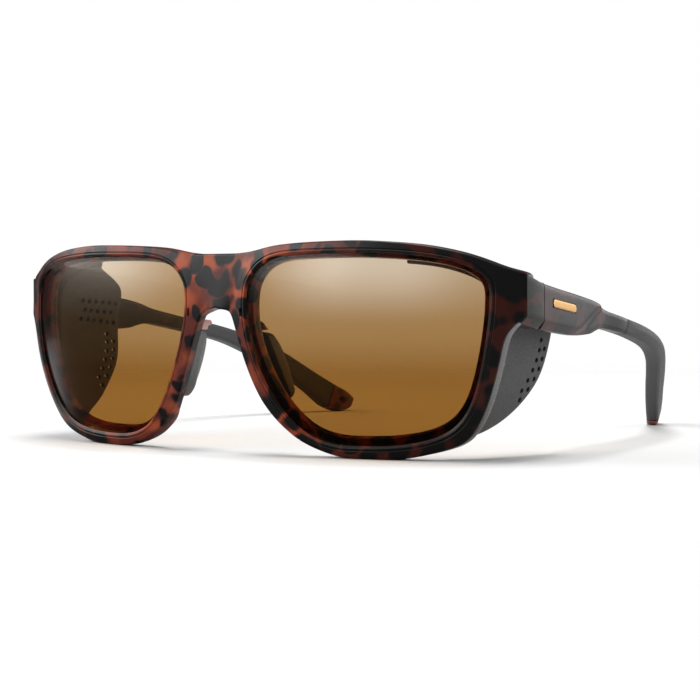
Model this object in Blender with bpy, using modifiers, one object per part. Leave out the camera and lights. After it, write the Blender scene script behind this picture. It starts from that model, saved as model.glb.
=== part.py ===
"""Glacier glasses with folding temples, folding side shields and two-position nose pads.

Design frame: x = 0 is the mid-plane and +X the wearer's left, +Y runs back along the
temples from the front of the bridge, z = 0 is the surface that the glasses stand on.
All sizes below are millimetres; meshes are written in metres.  One empty, the origin
empty, shifts everything forward so that y = 0 is the middle of the overall depth.
"""
import math

import bmesh
import bpy
from mathutils import Vector

MM = 0.001
DEPTH_MIDDLE = 70.8          # from the front of the bridge to the middle of the depth
UP, OUT, BACK = (0, 0, 1), (1, 0, 0), (0, 1, 0)

# Front surface: one sphere for each eye
SPHERE_X, SPHERE_Y, SPHERE_Z, SPHERE_R = 22.47, 69.26, 32.09, 72.36
EYE_X, EYE_Z = 37.0, 25.0    # middle of a lens

# Bridge panel between its two creases
BRIDGE_TOP, BRIDGE_BOTTOM = 46.5, 34.0
CREASE_TOP, CREASE_BOTTOM = 8.0, 4.0
BRIDGE_SET_BACK = 1.2        # the arch stands this far in front of the top edge

# Rim section
RIM_DEPTH = 5.5              # along the sphere's radius at the opening
GROOVE_FRONT, GROOVE_BACK = 0.7, 3.0
GROOVE_BITE = 0.7
LENS_FRONT, LENS_BACK = 0.95, 2.75
FRONT_LIP = 0.15             # how far the rim laps over the front of the lens
LENS_BITE = 0.35
EDGE = 0.7                   # front edge rounding
OUTER_MIN_DEPTH = 3.2        # the outer wall is never shallower than this
PAD_RECESS = 1.5             # step in the nose side wall that the pad fills
PAD_WALL = 2.3

# Rim rows: opening x, z; outline x, z; inner lip; pad recess (0 to 1)
RIM = [
    (8.7, 38.0, 0.0, 34.0, 0.6, 0.0),
    (8.5, 35.2, 3.1, 33.3, 0.6, 0.0),
    (8.6, 33.0, 4.3, 32.0, 0.6, 1.0),
    (8.8, 31.0, 5.2, 30.0, 0.6, 1.0),
    (9.6, 27.2, 6.3, 26.8, 0.6, 1.0),
    (11.8, 20.8, 8.6, 20.3, 0.6, 1.0),
    (15.2, 13.9, 12.1, 12.6, 0.7, 1.0),
    (19.3, 8.4, 17.0, 6.8, 0.9, 0.0),
    (24.5, 4.4, 23.0, 2.7, 1.0, 0.0),
    (32.0, 2.6, 33.0, 0.0, 1.1, 0.0),
    (40.5, 2.7, 42.0, 0.0, 1.1, 0.0),
    (48.6, 3.7, 49.8, 1.3, 1.1, 0.0),
    (55.3, 6.2, 57.6, 4.0, 1.1, 0.0),
    (59.8, 11.0, 62.8, 11.0, 1.0, 0.0),
    (62.7, 18.2, 66.0, 20.0, 0.9, 0.0),
    (64.4, 26.0, 67.9, 27.7, 0.8, 0.0),
    (65.0, 30.6, 69.6, 30.4, 0.8, 0.0),
    (65.2, 33.2, 71.4, 32.3, 0.8, 0.0),
    (65.25, 36.2, 71.4, 37.0, 0.8, 0.0),
    (64.9, 39.2, 71.4, 41.1, 0.8, 0.0),
    (62.7, 42.1, 66.8, 43.2, 0.8, 0.0),
    (57.0, 44.6, 59.3, 46.2, 0.8, 0.0),
    (47.5, 46.0, 48.5, 48.3, 0.8, 0.0),
    (36.5, 46.5, 37.0, 49.0, 0.8, 0.0),
    (26.5, 46.4, 26.5, 48.8, 0.8, 0.0),
    (18.0, 45.9, 17.0, 48.2, 0.7, 0.0),
    (13.2, 44.3, 9.5, 46.9, 0.6, 0.0),
    (11.0, 42.6, 4.5, 46.5, 0.6, 0.0),
    (9.8, 41.0, 0.0, 46.5, 0.6, 0.0),
    (9.1, 39.6, 0.0, 40.3, 0.6, 0.0),
]
TOP_MIDDLE_ROW = 28          # row where the outline meets the mid-plane at the top
STEPS_PER_ROW = 2

# End piece: outline at the hinge seam and at the front corner
SEAM_Y = 23.25
END_OUTER, END_INNER = 72.3, 67.5
SEAM_TOP, SEAM_BOTTOM, SEAM_CHAMFER = 39.6, 29.3, 31.2
CORNER_Y, CORNER_X, CORNER_TOP, CORNER_BOTTOM = 16.3, 71.5, 41.1, 32.2

# Temple hinge
HINGE_X, HINGE_Y = 68.3, 23.4
HINGE_LOW, HINGE_HIGH = 31.6, 38.2
KNUCKLE_R, HINGE_SCREW_R, NOTCH_R = 1.45, 0.55, 1.8
CENTRE_KNUCKLE_HEIGHT = 2.6
KNUCKLE_GAP = 0.12
LEAF_THICK = 0.65

# hinge leaves, pockets and screws: y ranges, then x values, radii and lengths
FRONT_POCKET_Y, FRONT_LEAF_Y, LEAF_ARM_Y = (17.2, 22.9), (17.6, 21.4), (21.0, 23.0)
TEMPLE_POCKET_Y, TEMPLE_LEAF_Y = (23.0, 31.0), (24.2, 30.6)
FRONT_SCREW_Y, TEMPLE_SCREW_Y = 19.2, 28.6
TEMPLE_INNER = 68.7
POCKET_OPEN_X, POCKET_CLEAR = 66.5, 0.4
FRONT_POCKET_Z, FRONT_LEAF_Z = 0.3, 0.5
LEAF_SEAT = 0.05
NOTCH_EXTRA = 0.8
FRONT_BORE, TEMPLE_BORE = (69.2, 3.2), (70.1, 2.6)      # centre x, length
FIXING_BORE_R, FIXING_HOLE_R, FIXING_HOLE_LENGTH = 0.8, 0.75, 3.0
SHANK_CENTRE, SHANK_R, SHANK_LENGTH = 0.85, 0.45, 2.2
HEAD_CENTRE, HEAD_R, HEAD_THICK = 0.45, 1.0, 0.5
HINGE_HEAD_R, HINGE_HEAD_THICK = 1.1, 0.3
HINGE_BORE_CLEAR, HINGE_BORE_LENGTH = 0.1, 12.0
STUB_SINK, STUB_LENGTH, STUB_BORE_LENGTH = 0.6, 3.6, 4.2

# Temple rows: top edge y, z; bottom edge y, z; outer face x; thickness; bottom chamfer
TEMPLE = [
    (23.55, 39.55, 23.55, 29.3, 72.3, 3.6, 1.8),
    (31.6, 38.4, 31.6, 28.4, 72.3, 3.6, 1.8),
    (42.5, 37.0, 44.0, 27.5, 72.2, 3.7, 1.5),
    (53.0, 35.5, 51.5, 27.7, 72.0, 3.8, 1.0),
    (57.5, 34.5, 56.0, 28.5, 71.9, 3.9, 0.8),
    (61.2, 33.35, 59.5, 28.9, 71.8, 4.0, 0.8),
    (73.0, 31.2, 71.0, 27.45, 71.8, 4.1, 0.8),
    (85.0, 29.3, 84.0, 25.3, 71.3, 4.2, 0.8),
    (97.0, 26.9, 95.5, 22.8, 70.0, 4.2, 0.8),
    (107.0, 24.0, 103.5, 19.8, 68.0, 4.1, 0.8),
    (115.5, 20.5, 110.5, 16.2, 65.3, 4.0, 0.8),
    (123.0, 16.3, 117.5, 12.0, 62.3, 3.9, 0.8),
    (130.0, 12.0, 125.0, 6.6, 59.2, 3.7, 0.8),
    (136.0, 8.6, 132.0, 1.4, 56.7, 3.6, 0.8),
    (140.5, 6.2, 136.6, 0.0, 54.8, 3.5, 0.8),
    (143.3, 3.9, 141.0, 1.0, 53.4, 3.0, 0.8),
]
GRIP_FIRST, GRIP_LAST = 6, 13    # rows between which the rubber sleeve sits
NECK_INSET = 0.9
TOUCH_GAP = 0.3
LEASH_HOLE_Y, LEASH_HOLE_Z, LEASH_HOLE_R = 137.7, 3.7, 1.3
LEASH_CUT_X, LEASH_CUT_LENGTH = 53.0, 14.0

# Plain bar on each temple
BAR_Y, BAR_Z, BAR_LENGTH, BAR_HEIGHT, BAR_SLOPE = 34.2, 34.4, 12.5, 1.8, -0.115
BAR_INNER, BAR_OUTER = 72.15, 72.4
BAR_SEAT_FLOOR, BAR_SEAT_OPEN = 71.9, 73.0
BAR_SEAT_MARGIN = 0.2

# Shield clip rows: rim row, outline x, z, rear edge of the wall that meets the panel
CLIP = [
    (22.3, 44.0, 46.6, 10.6),
    (21.8, 50.0, 46.1, 12.8),
    (21.3, 55.0, 45.0, 14.6),
    (20.9, 58.3, 43.7, 15.7),
    (20.4, 60.8, 42.2, 16.7),
    (19.9, 62.5, 40.7, 17.8),
    (19.2, 64.1, 38.3, 18.6),
    (17.8, 65.6, 34.0, 18.8),
    (16.0, 65.6, 28.0, 18.8),
    (15.0, 64.7, 23.0, 18.8),
    (14.0, 63.1, 16.5, 18.2),
    (13.0, 60.9, 11.0, 17.4),
    (12.6, 59.4, 8.6, 17.1),
    (12.2, 57.6, 6.8, 16.8),
    (11.8, 55.2, 5.4, 16.4),
    (11.3, 52.2, 4.4, 15.8),
    (10.9, 48.8, 3.8, 15.0),
]
FLANGE_THICK = 0.9
FLANGE_WIDTH = 2.0
MIN_RISE = 0.3               # of the wall above the flange
WALL = 1.1

# Shield panel rows: outer face x, z; front edge y; rear edge y
PANEL = [
    (60.2, 42.5, 18.3, 33.2),
    (62.0, 41.3, 18.8, 38.6),
    (63.6, 39.3, 19.1, 42.6),
    (65.0, 36.8, 19.2, 43.5),
    (65.6, 34.0, 19.2, 42.9),
    (65.8, 31.0, 19.2, 42.4),
    (65.6, 28.0, 19.2, 42.1),
    (65.1, 24.8, 19.2, 41.7),
    (64.4, 21.2, 19.2, 41.0),
    (63.6, 18.0, 19.1, 39.6),
    (62.7, 15.2, 19.0, 37.2),
    (61.7, 12.7, 18.9, 34.3),
    (60.8, 10.9, 18.8, 31.8),
]
PANEL_HINGE_X, PANEL_HINGE_Y = 61.0, 18.8
VENT_R = 0.55
VENT_CUT_X, VENT_CUT_LENGTH = 64.0, 8.0
# Vent rows level with the temple: first y, first z, count, pitch, drop per hole
VENT_ROWS = [(27.2, 35.5, 6, 2.72, 0.18), (28.4, 33.0, 5, 2.65, 0.2), (27.0, 30.7, 6, 2.64, 0.25)]
# Vent columns along the rear edge: first y, first z, count, pitch in z, curvature
VENT_COLUMNS = [(36.95, 26.5, 6, 2.3, 0.23), (39.3, 24.4, 6, 2.3, 0.31)]

# Nose pad rows: z; edge against the rim x; front ridge x; rear ridge x, y; rear width
PAD = [
    (28.4, 6.1, 7.2, 8.9, 7.6, 1.6),
    (25.0, 7.2, 8.3, 10.0, 9.2, 2.2),
    (20.2, 8.9, 9.9, 11.7, 9.7, 2.4),
    (15.6, 10.9, 11.4, 13.5, 9.3, 2.4),
    (12.8, 12.3, 12.9, 15.2, 8.2, 1.8),
]
ARM_TOP = [
    (31.1, 5.2, 6.2, 7.7, 6.5, 1.5),
    (28.7, 6.0, 7.1, 8.8, 7.5, 1.6),
]
PAD_CLEAR = 0.35
PAD_BACK_OF_RIM = 6.5        # depth of the pad's seat behind the rim, on the sphere's radius
PAD_PIVOT_X, PAD_PIVOT_Z = 7.0, 30.4
PIVOT_R, PIVOT_BORE_R = 0.6, 0.9
BLADE_THICK, BLADE_LOW, BLADE_HIGH = 1.0, 15.2, 29.4


def slope(before, here, after):
    """Tangent that keeps a curve between its own points."""
    left, right = here - before, after - here
    return 0.0 if left * right <= 0 else 2 * left * right / (left + right)


def sample(rows, t, closed=False):
    """The row at a fractional index, on a smooth curve through the rows."""
    count = len(rows)
    first = math.floor(t)
    f = t - first
    if closed:
        picks = [rows[(first + k) % count] for k in (-1, 0, 1, 2)]
    else:
        picks = [rows[min(max(first + k, 0), count - 1)] for k in (-1, 0, 1, 2)]
    values = []
    for a, b, c, d in zip(*picks):
        start, end = slope(a, b, c), slope(b, c, d)
        values.append(b * (1 + 2 * f) * (1 - f) ** 2 + start * f * (1 - f) ** 2
                      + c * f * f * (3 - 2 * f) - end * f * f * (1 - f))
    return values


def sphere_y(x, z, depth=0.0):
    """Height of the front sphere, sunk by a depth, over a point of the x-z plane."""
    return SPHERE_Y - math.sqrt((SPHERE_R - depth) ** 2 - (x - SPHERE_X) ** 2 - (z - SPHERE_Z) ** 2)


def front_y(x, z):
    """Front surface: the sphere, and between the creases the flat bridge panel."""
    rise = (z - BRIDGE_BOTTOM) / (BRIDGE_TOP - BRIDGE_BOTTOM)
    crease = CREASE_BOTTOM + (CREASE_TOP - CREASE_BOTTOM) * rise
    if x >= crease:
        return sphere_y(x, z)
    middle = -BRIDGE_SET_BACK * (1 - rise)
    return middle + (sphere_y(crease, z) - middle) * x / crease


def sunk(x, z, depth):
    """Point below the front surface, measured along the sphere's radius."""
    front = Vector((x, front_y(x, z), z))
    return front + (Vector((SPHERE_X, SPHERE_Y, SPHERE_Z)) - front).normalized() * depth


def outward(column, t):
    """Unit normal of the opening (column 0) or outline (column 2), away from the lens."""
    before, after = sample(RIM, t - 0.05, True), sample(RIM, t + 0.05, True)
    dx, dz = after[column] - before[column], after[column + 1] - before[column + 1]
    length = math.hypot(dx, dz)
    return (dz / length, -dx / length)


def rim_back(t):
    """Inner back edge of the rim and the y of its outer back edge."""
    x, z, outer_x, outer_z = sample(RIM, t, True)[:4]
    inner = sunk(x, z, RIM_DEPTH)
    return inner, max(inner.y + 0.4, front_y(outer_x, outer_z) + OUTER_MIN_DEPTH)


def rim_section(t):
    """Closed section of the front at one place round the eye."""
    x, z, ox, oz, lip, recess = sample(RIM, t, True)
    nx, nz = outward(0, t)
    if ox < 0.01:
        px, pz = 0.0, {0: -1.0, TOP_MIDDLE_ROW: 1.0}.get(t, 0.0)
    else:
        px, pz = outward(2, t)

    def opening(offset, depth):
        return sunk(x + nx * offset, z + nz * offset, depth)

    def outline(inset, y):
        return Vector((ox - px * inset, y, oz - pz * inset))

    fx, fz = ox - px * EDGE, oz - pz * EDGE
    up_the_bridge = (oz - BRIDGE_BOTTOM) / (BRIDGE_TOP - BRIDGE_BOTTOM)
    crease = CREASE_BOTTOM + (CREASE_TOP - CREASE_BOTTOM) * up_the_bridge
    share = (x - crease) / (x - ox) if ox < crease < x else 0.5
    cx, cz = x + (fx - x) * share, z + (fz - z) * share
    front = front_y(ox, oz)
    back = rim_back(t)[1]
    wall = (back - 0.5) * (1 - recess) + (front + PAD_WALL) * recess
    step = 0.25 + (PAD_RECESS - 0.25) * recess
    return [
        opening(0.4, 0.0), Vector((cx, front_y(cx, cz), cz)), Vector((fx, front_y(fx, fz), fz)),
        outline(0.0, front + EDGE), outline(0.0, wall), outline(step, wall + 0.3 * (1 - recess)),
        outline(step + 0.2, back), opening(0.1, RIM_DEPTH), opening(-lip + 0.2, GROOVE_BACK),
        opening(GROOVE_BITE, GROOVE_BACK), opening(GROOVE_BITE, GROOVE_FRONT),
        opening(-FRONT_LIP, GROOVE_FRONT), opening(0.0, 0.3),
    ]


def new_object(name, bm, side, pivot, material, smooth=40):
    """Mesh object of millimetre geometry, mirrored for the right side, on its pivot empty."""
    for vert in bm.verts:
        vert.co.x *= side
    bm.normal_update()
    bmesh.ops.recalc_face_normals(bm, faces=bm.faces)
    for vert in bm.verts:
        vert.co = vert.co * MM - pivot.location
    mesh = bpy.data.meshes.new(name)
    bm.to_mesh(mesh)
    bm.free()
    mesh.shade_smooth()
    mesh.set_sharp_from_angle(angle=math.radians(smooth))
    obj = bpy.data.objects.new(name, mesh)
    obj.parent = pivot
    if material:
        mesh.materials.append(material)
        PARTS.objects.link(obj)
    else:
        CUTTERS.objects.link(obj)
        obj.hide_render = True
        obj.display_type = 'WIRE'
    return obj


def loft(sections, closed=False):
    """Skin over sections with the same number of points; open lofts get end caps."""
    bm = bmesh.new()
    rings = [[bm.verts.new(p) for p in section] for section in sections]
    count = len(rings[0])
    pairs = list(zip(rings, rings[1:] + ([rings[0]] if closed else [])))
    for a, b in pairs:
        for i in range(count):
            j = (i + 1) % count
            bm.faces.new((a[i], a[j], b[j], b[i]))
    if not closed:
        bm.faces.new(rings[0])
        bm.faces.new(rings[-1])
    return bm


def box(low, high):
    bm = bmesh.new()
    bmesh.ops.create_cube(bm, size=1.0)
    for vert in bm.verts:
        vert.co = Vector(low[k] + (vert.co[k] + 0.5) * (high[k] - low[k]) for k in range(3))
    return bm


def cylinder(centre, axis, radius, length, sides=16):
    """Cylinder in millimetres, centred on a point, along an axis."""
    bm = bmesh.new()
    bmesh.ops.create_cone(bm, cap_ends=True, segments=sides, radius1=radius, radius2=radius,
                          depth=length)
    turn = Vector(axis).to_track_quat('Z', 'Y')
    for vert in bm.verts:
        vert.co = turn @ vert.co + Vector(centre)
    return bm


def joined(pieces):
    """One bmesh of several loose bodies, for a cutter."""
    whole = bmesh.new()
    for piece in pieces:
        mesh = bpy.data.meshes.new("loose")
        piece.to_mesh(mesh)
        piece.free()
        whole.from_mesh(mesh)
        bpy.data.meshes.remove(mesh)
    return whole


def combine(obj, tool, operation):
    modifier = obj.modifiers.new(tool.name, 'BOOLEAN')
    modifier.operation = operation
    modifier.object = tool


def material(name, colour, roughness, metallic=0.0, alpha=1.0):
    mat = bpy.data.materials.new(name)
    mat.use_nodes = True
    shader = mat.node_tree.nodes["Principled BSDF"]
    shader.inputs["Base Color"].default_value = (*colour, 1.0)
    shader.inputs["Roughness"].default_value = roughness
    shader.inputs["Metallic"].default_value = metallic
    shader.inputs["Alpha"].default_value = alpha
    return mat


def empty(name, location, parent=None):
    obj = bpy.data.objects.new(name, None)
    obj.location = Vector(location) * MM
    obj.parent = parent
    PARTS.objects.link(obj)
    return obj


def half_front():
    """Left half of the front, open at the mid-plane where the bridge goes on."""
    count = len(RIM) * STEPS_PER_ROW
    places = [i / STEPS_PER_ROW for i in range(count)]
    sections = [rim_section(t) for t in places]
    bm = bmesh.new()
    rings = [[bm.verts.new(p) for p in section] for section in sections]
    size = len(rings[0])
    for i in range(count):
        a, b = rings[i], rings[(i + 1) % count]
        on_plane = places[i] >= TOP_MIDDLE_ROW
        for k in range(size):
            if on_plane and 2 <= k <= 5:
                continue
            m = (k + 1) % size
            bm.faces.new((a[k], a[m], b[m], b[k]))
    loose = [v for v in bm.verts if not v.link_faces]
    bmesh.ops.delete(bm, geom=loose, context='VERTS')
    return bm


def end_piece():
    """Block from the front corner back to the hinge seam."""
    def outline(y, outer, top, bottom, chamfer, bevel):
        return [Vector((outer, y, top)), Vector((outer, y, chamfer)),
                Vector((outer - bevel, y, bottom)), Vector((END_INNER, y, bottom)),
                Vector((END_INNER, y, top))]
    middle_y = (CORNER_Y + SEAM_Y) / 2
    return loft([
        outline(CORNER_Y, CORNER_X, CORNER_TOP, CORNER_BOTTOM - 0.4, CORNER_BOTTOM, 0.3),
        outline(middle_y, (CORNER_X + END_OUTER) / 2 + 0.1, 40.4, 30.6, 31.7, 1.0),
        outline(SEAM_Y, END_OUTER, SEAM_TOP, SEAM_BOTTOM, SEAM_CHAMFER, 1.5),
    ])


def lens():
    """Shell concentric with the front sphere, its edge in the rim groove."""
    count = len(RIM) * STEPS_PER_ROW
    bm = bmesh.new()
    edge = []
    for i in range(count):
        t = i / STEPS_PER_ROW
        x, z = sample(RIM, t, True)[:2]
        nx, nz = outward(0, t)
        edge.append((x + nx * LENS_BITE, z + nz * LENS_BITE))
    skins = []
    for depth in (LENS_FRONT, LENS_BACK):
        rings = []
        for share in (1.0, 0.7, 0.38):
            flat = [(EYE_X + (x - EYE_X) * share, EYE_Z + (z - EYE_Z) * share) for x, z in edge]
            rings.append([bm.verts.new(sunk(x, z, depth)) for x, z in flat])
        middle = bm.verts.new(sunk(EYE_X, EYE_Z, depth))
        for a, b in zip(rings, rings[1:]):
            for i in range(count):
                j = (i + 1) % count
                bm.faces.new((a[i], a[j], b[j], b[i]))
        for i in range(count):
            bm.faces.new((rings[-1][i], rings[-1][(i + 1) % count], middle))
        skins.append(rings[0])
    front, back = skins
    for i in range(count):
        j = (i + 1) % count
        bm.faces.new((front[i], back[i], back[j], front[j]))
    return bm


def temple_section(t, inset=0.0):
    """Slanted section between the top and the bottom edge of the temple."""
    top_y, top_z, low_y, low_z, outer, thick, chamfer = sample(TEMPLE, t)
    top, low = Vector((0, top_y, top_z)), Vector((0, low_y, low_z))
    up = (top - low).normalized()
    top, low = top - up * inset, low + up * inset
    outer, thick = outer - inset, thick - 2 * inset
    tall = (top - low).length
    chamfer = min(chamfer, tall * 0.3)
    corner = min(0.8, thick * 0.25, tall * 0.25)

    def place(across, height):
        return low + up * height + Vector((outer - across, 0, 0))
    return [
        place(corner, tall), place(0, tall - corner), place(0, chamfer), place(chamfer * 0.6, 0),
        place(thick - corner, 0), place(thick, corner), place(thick, tall - corner),
        place(thick - corner, tall),
    ]


def temple_core():
    """Front part, neck under the sleeve and tip in one piece."""
    front = [temple_section(t) for t in (0, 1, 2, 2.5, 3, 3.5, 4, 4.5, 5, 5.5, 6)]
    neck = [temple_section(GRIP_FIRST, NECK_INSET)]
    neck += [temple_section(t / 2, NECK_INSET) for t in range(2 * GRIP_FIRST + 1, 2 * GRIP_LAST + 1)]
    tip = [temple_section(t) for t in (13, 13.35, 13.7, 14, 14.3, 14.6, 14.85, 15)]
    return loft(front + neck + tip)


def temple_grip():
    """Sleeve round the neck, open at both ends."""
    start, end = GRIP_FIRST + 0.03, GRIP_LAST - 0.08
    steps = 14
    places = [start + (end - start) * i / steps for i in range(steps + 1)]
    outside = [temple_section(t) for t in places]
    inside = [temple_section(t, NECK_INSET - TOUCH_GAP) for t in places]
    return loft(outside + inside[::-1], closed=True)


def cut(obj, name, shape, side, pivot):
    combine(obj, new_object(name, shape, side, pivot, None), 'DIFFERENCE')


def add(obj, name, shape, side, pivot):
    combine(obj, new_object(name, shape, side, pivot, None), 'UNION')


def hinge_bore(middle):
    """Hole through the knuckles for the hinge screw."""
    return cylinder((HINGE_X, HINGE_Y, middle), UP, HINGE_SCREW_R + HINGE_BORE_CLEAR, HINGE_BORE_LENGTH)


def build_hinge(side, label, origin, temple_pivot, steel, front, temple):
    """Two leaves in pockets, their fixing screws and the pivot screw."""
    middle = (HINGE_LOW + HINGE_HIGH) / 2
    half = CENTRE_KNUCKLE_HEIGHT / 2
    ear = (HINGE_HIGH - HINGE_LOW) / 2 - half - KNUCKLE_GAP
    notch_height = HINGE_HIGH - HINGE_LOW + NOTCH_EXTRA
    front_seat = END_INNER + LEAF_SEAT
    temple_seat = TEMPLE_INNER + LEAF_SEAT

    pocket = box((POCKET_OPEN_X, FRONT_POCKET_Y[0], HINGE_LOW - FRONT_POCKET_Z),
                 (END_INNER + LEAF_THICK + POCKET_CLEAR, FRONT_POCKET_Y[1], HINGE_HIGH + FRONT_POCKET_Z))
    x, length = FRONT_BORE
    cut(front, f"cut_front_notch_{label}",
        cylinder((HINGE_X, HINGE_Y, middle), UP, NOTCH_R, notch_height, 24), side, origin)
    cut(front, f"cut_front_pocket_{label}", pocket, side, origin)
    cut(front, f"cut_front_bore_{label}",
        cylinder((x, FRONT_SCREW_Y, middle), OUT, FIXING_BORE_R, length, 12), side, origin)

    pocket = box((END_INNER, TEMPLE_POCKET_Y[0], middle - half - POCKET_CLEAR),
                 (TEMPLE_INNER + LEAF_THICK + POCKET_CLEAR, TEMPLE_POCKET_Y[1], middle + half + POCKET_CLEAR))
    x, length = TEMPLE_BORE
    cut(temple, f"cut_temple_notch_{label}",
        cylinder((HINGE_X, HINGE_Y, middle), UP, NOTCH_R, notch_height, 24), side, temple_pivot)
    cut(temple, f"cut_temple_pocket_{label}", pocket, side, temple_pivot)
    cut(temple, f"cut_temple_bore_{label}",
        cylinder((x, TEMPLE_SCREW_Y, middle), OUT, FIXING_BORE_R, length, 12), side, temple_pivot)

    plate = box((front_seat, FRONT_LEAF_Y[0], HINGE_LOW + FRONT_LEAF_Z),
                (front_seat + LEAF_THICK, FRONT_LEAF_Y[1], HINGE_HIGH - FRONT_LEAF_Z))
    leaf = new_object(f"front_hinge_{label}", plate, side, origin, steel)
    for tag, centre in (("low", HINGE_LOW + ear / 2), ("high", HINGE_HIGH - ear / 2)):
        arm = box((front_seat, LEAF_ARM_Y[0], centre - ear / 2),
                  (front_seat + LEAF_THICK, LEAF_ARM_Y[1], centre + ear / 2))
        knuckle = cylinder((HINGE_X, HINGE_Y, centre), UP, KNUCKLE_R, ear)
        add(leaf, f"add_arm_{tag}_{label}", arm, side, origin)
        add(leaf, f"add_knuckle_{tag}_{label}", knuckle, side, origin)
    cut(leaf, f"cut_leaf_bore_{label}", hinge_bore(middle), side, origin)
    hole = cylinder((END_INNER + 0.5, FRONT_SCREW_Y, middle), OUT, FIXING_HOLE_R, FIXING_HOLE_LENGTH, 12)
    cut(leaf, f"cut_leaf_hole_{label}", hole, side, origin)

    plate = box((temple_seat, TEMPLE_LEAF_Y[0], middle - half),
                (temple_seat + LEAF_THICK, TEMPLE_LEAF_Y[1], middle + half))
    leaf = new_object(f"temple_hinge_{label}", plate, side, temple_pivot, steel)
    knuckle = cylinder((HINGE_X, HINGE_Y, middle), UP, KNUCKLE_R, 2 * half)
    add(leaf, f"add_centre_knuckle_{label}", knuckle, side, temple_pivot)
    cut(leaf, f"cut_centre_bore_{label}", hinge_bore(middle), side, temple_pivot)
    hole = cylinder((TEMPLE_INNER + 0.4, TEMPLE_SCREW_Y, middle), OUT, FIXING_HOLE_R, FIXING_HOLE_LENGTH, 12)
    cut(leaf, f"cut_temple_hole_{label}", hole, side, temple_pivot)

    for name, pivot, y, face in (("front_leaf_screw", origin, FRONT_SCREW_Y, END_INNER),
                                 ("temple_leaf_screw", temple_pivot, TEMPLE_SCREW_Y, TEMPLE_INNER)):
        shank = cylinder((face + SHANK_CENTRE, y, middle), OUT, SHANK_R, SHANK_LENGTH, 12)
        screw = new_object(f"{name}_{label}", shank, side, pivot, steel)
        head = cylinder((face - HEAD_CENTRE, y, middle), OUT, HEAD_R, HEAD_THICK)
        add(screw, f"add_{name}_head_{label}", head, side, pivot)

    shank = cylinder((HINGE_X, HINGE_Y, middle + 0.2), UP, HINGE_SCREW_R, HINGE_HIGH - HINGE_LOW)
    screw = new_object(f"hinge_screw_{label}", shank, side, origin, steel)
    head = cylinder((HINGE_X, HINGE_Y, HINGE_HIGH + 0.25), UP, HINGE_HEAD_R, HINGE_HEAD_THICK)
    add(screw, f"add_screw_head_{label}", head, side, origin)


def back_at(x, z, near):
    """y of the rim's back face over a point, on the section that passes closest to it."""
    best_off, best_y = 1000.0, 0.0
    for k in range(-10, 11):
        t = near + k * 0.1
        inner, outer_back = rim_back(t)
        dx, dz = (a - b for a, b in zip(sample(RIM, t, True)[2:4], (inner.x, inner.z)))
        length = math.hypot(dx, dz)
        off = abs((x - inner.x) * dz - (z - inner.z) * dx) / length
        share = ((x - inner.x) * dx + (z - inner.z) * dz) / (length * (length - 0.5))
        if off < best_off:
            best_off, best_y = off, inner.y + (outer_back - inner.y) * min(max(share, 0.0), 1.0)
    return best_y


def inward(rows, column, t):
    """Unit normal of an outline in the x-z plane, towards the inside of the shield."""
    before = sample(rows, max(t - 0.1, 0))
    after = sample(rows, min(t + 0.1, len(rows) - 1))
    dx, dz = after[column] - before[column], after[column + 1] - before[column + 1]
    return Vector((dz, 0, -dx)).normalized()


def shield_clip():
    """Flange that lies behind the rim, with a wall that stands up to the panel."""
    sections = []
    for i in range(2 * len(CLIP) - 1):
        t, x, z, rear = sample(CLIP, i / 2)
        toward = inward(CLIP, 1, i / 2)
        edge = Vector((x, 0, z))
        foot = edge + toward * FLANGE_WIDTH
        lip = edge + toward * WALL
        front = back_at(x, z, t) + TOUCH_GAP
        foot_front = back_at(foot.x, foot.z, t) + TOUCH_GAP
        rear = max(rear, front + FLANGE_THICK + MIN_RISE)
        sections.append([
            Vector((edge.x, front, edge.z)), Vector((edge.x, rear, edge.z)),
            Vector((lip.x, rear, lip.z)), Vector((lip.x, front + FLANGE_THICK, lip.z)),
            Vector((foot.x, foot_front + FLANGE_THICK, foot.z)), Vector((foot.x, foot_front, foot.z)),
        ])
    return loft(sections)


def shield_panel():
    """Curved panel, straight along y."""
    sections = []
    for i in range(2 * len(PANEL) - 1):
        x, z, front, rear = sample(PANEL, i / 2)
        through = inward(PANEL, 0, i / 2) * WALL
        outer_front, outer_rear = Vector((x, front, z)), Vector((x, rear, z))
        sections.append([outer_front, outer_rear, outer_rear + through, outer_front + through])
    return loft(sections)


def vents():
    """Cutters for the vent holes, drilled along x."""
    places = []
    for y, z, count, pitch, drop in VENT_ROWS:
        places += [(y + pitch * k, z - drop * k) for k in range(count)]
    for y, z, count, pitch, bend in VENT_COLUMNS:
        places += [(y - bend * k * k, z - pitch * k) for k in range(count)]
    return joined([cylinder((VENT_CUT_X, y, z), OUT, VENT_R, VENT_CUT_LENGTH, 8) for y, z in places])


def pad_section(row):
    """Section of the pad or of its arm at one height: against the rim, ridge, rear ridge."""
    z, rim_x, ridge_x, rear_x, rear_y, width = row
    seat = sphere_y(rim_x + 2.0, z, PAD_BACK_OF_RIM)
    wall = front_y(rim_x, z) + PAD_WALL + PAD_CLEAR
    side_x = rim_x + PAD_RECESS - PAD_CLEAR
    return [
        Vector((rim_x, wall, z)), Vector((ridge_x, seat + 0.6, z)), Vector((rear_x, rear_y, z)),
        Vector((rear_x + width, rear_y - 0.4, z)), Vector((rear_x + width - 0.2, seat, z)),
        Vector((side_x, seat, z)), Vector((side_x, wall, z)),
    ]


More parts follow.
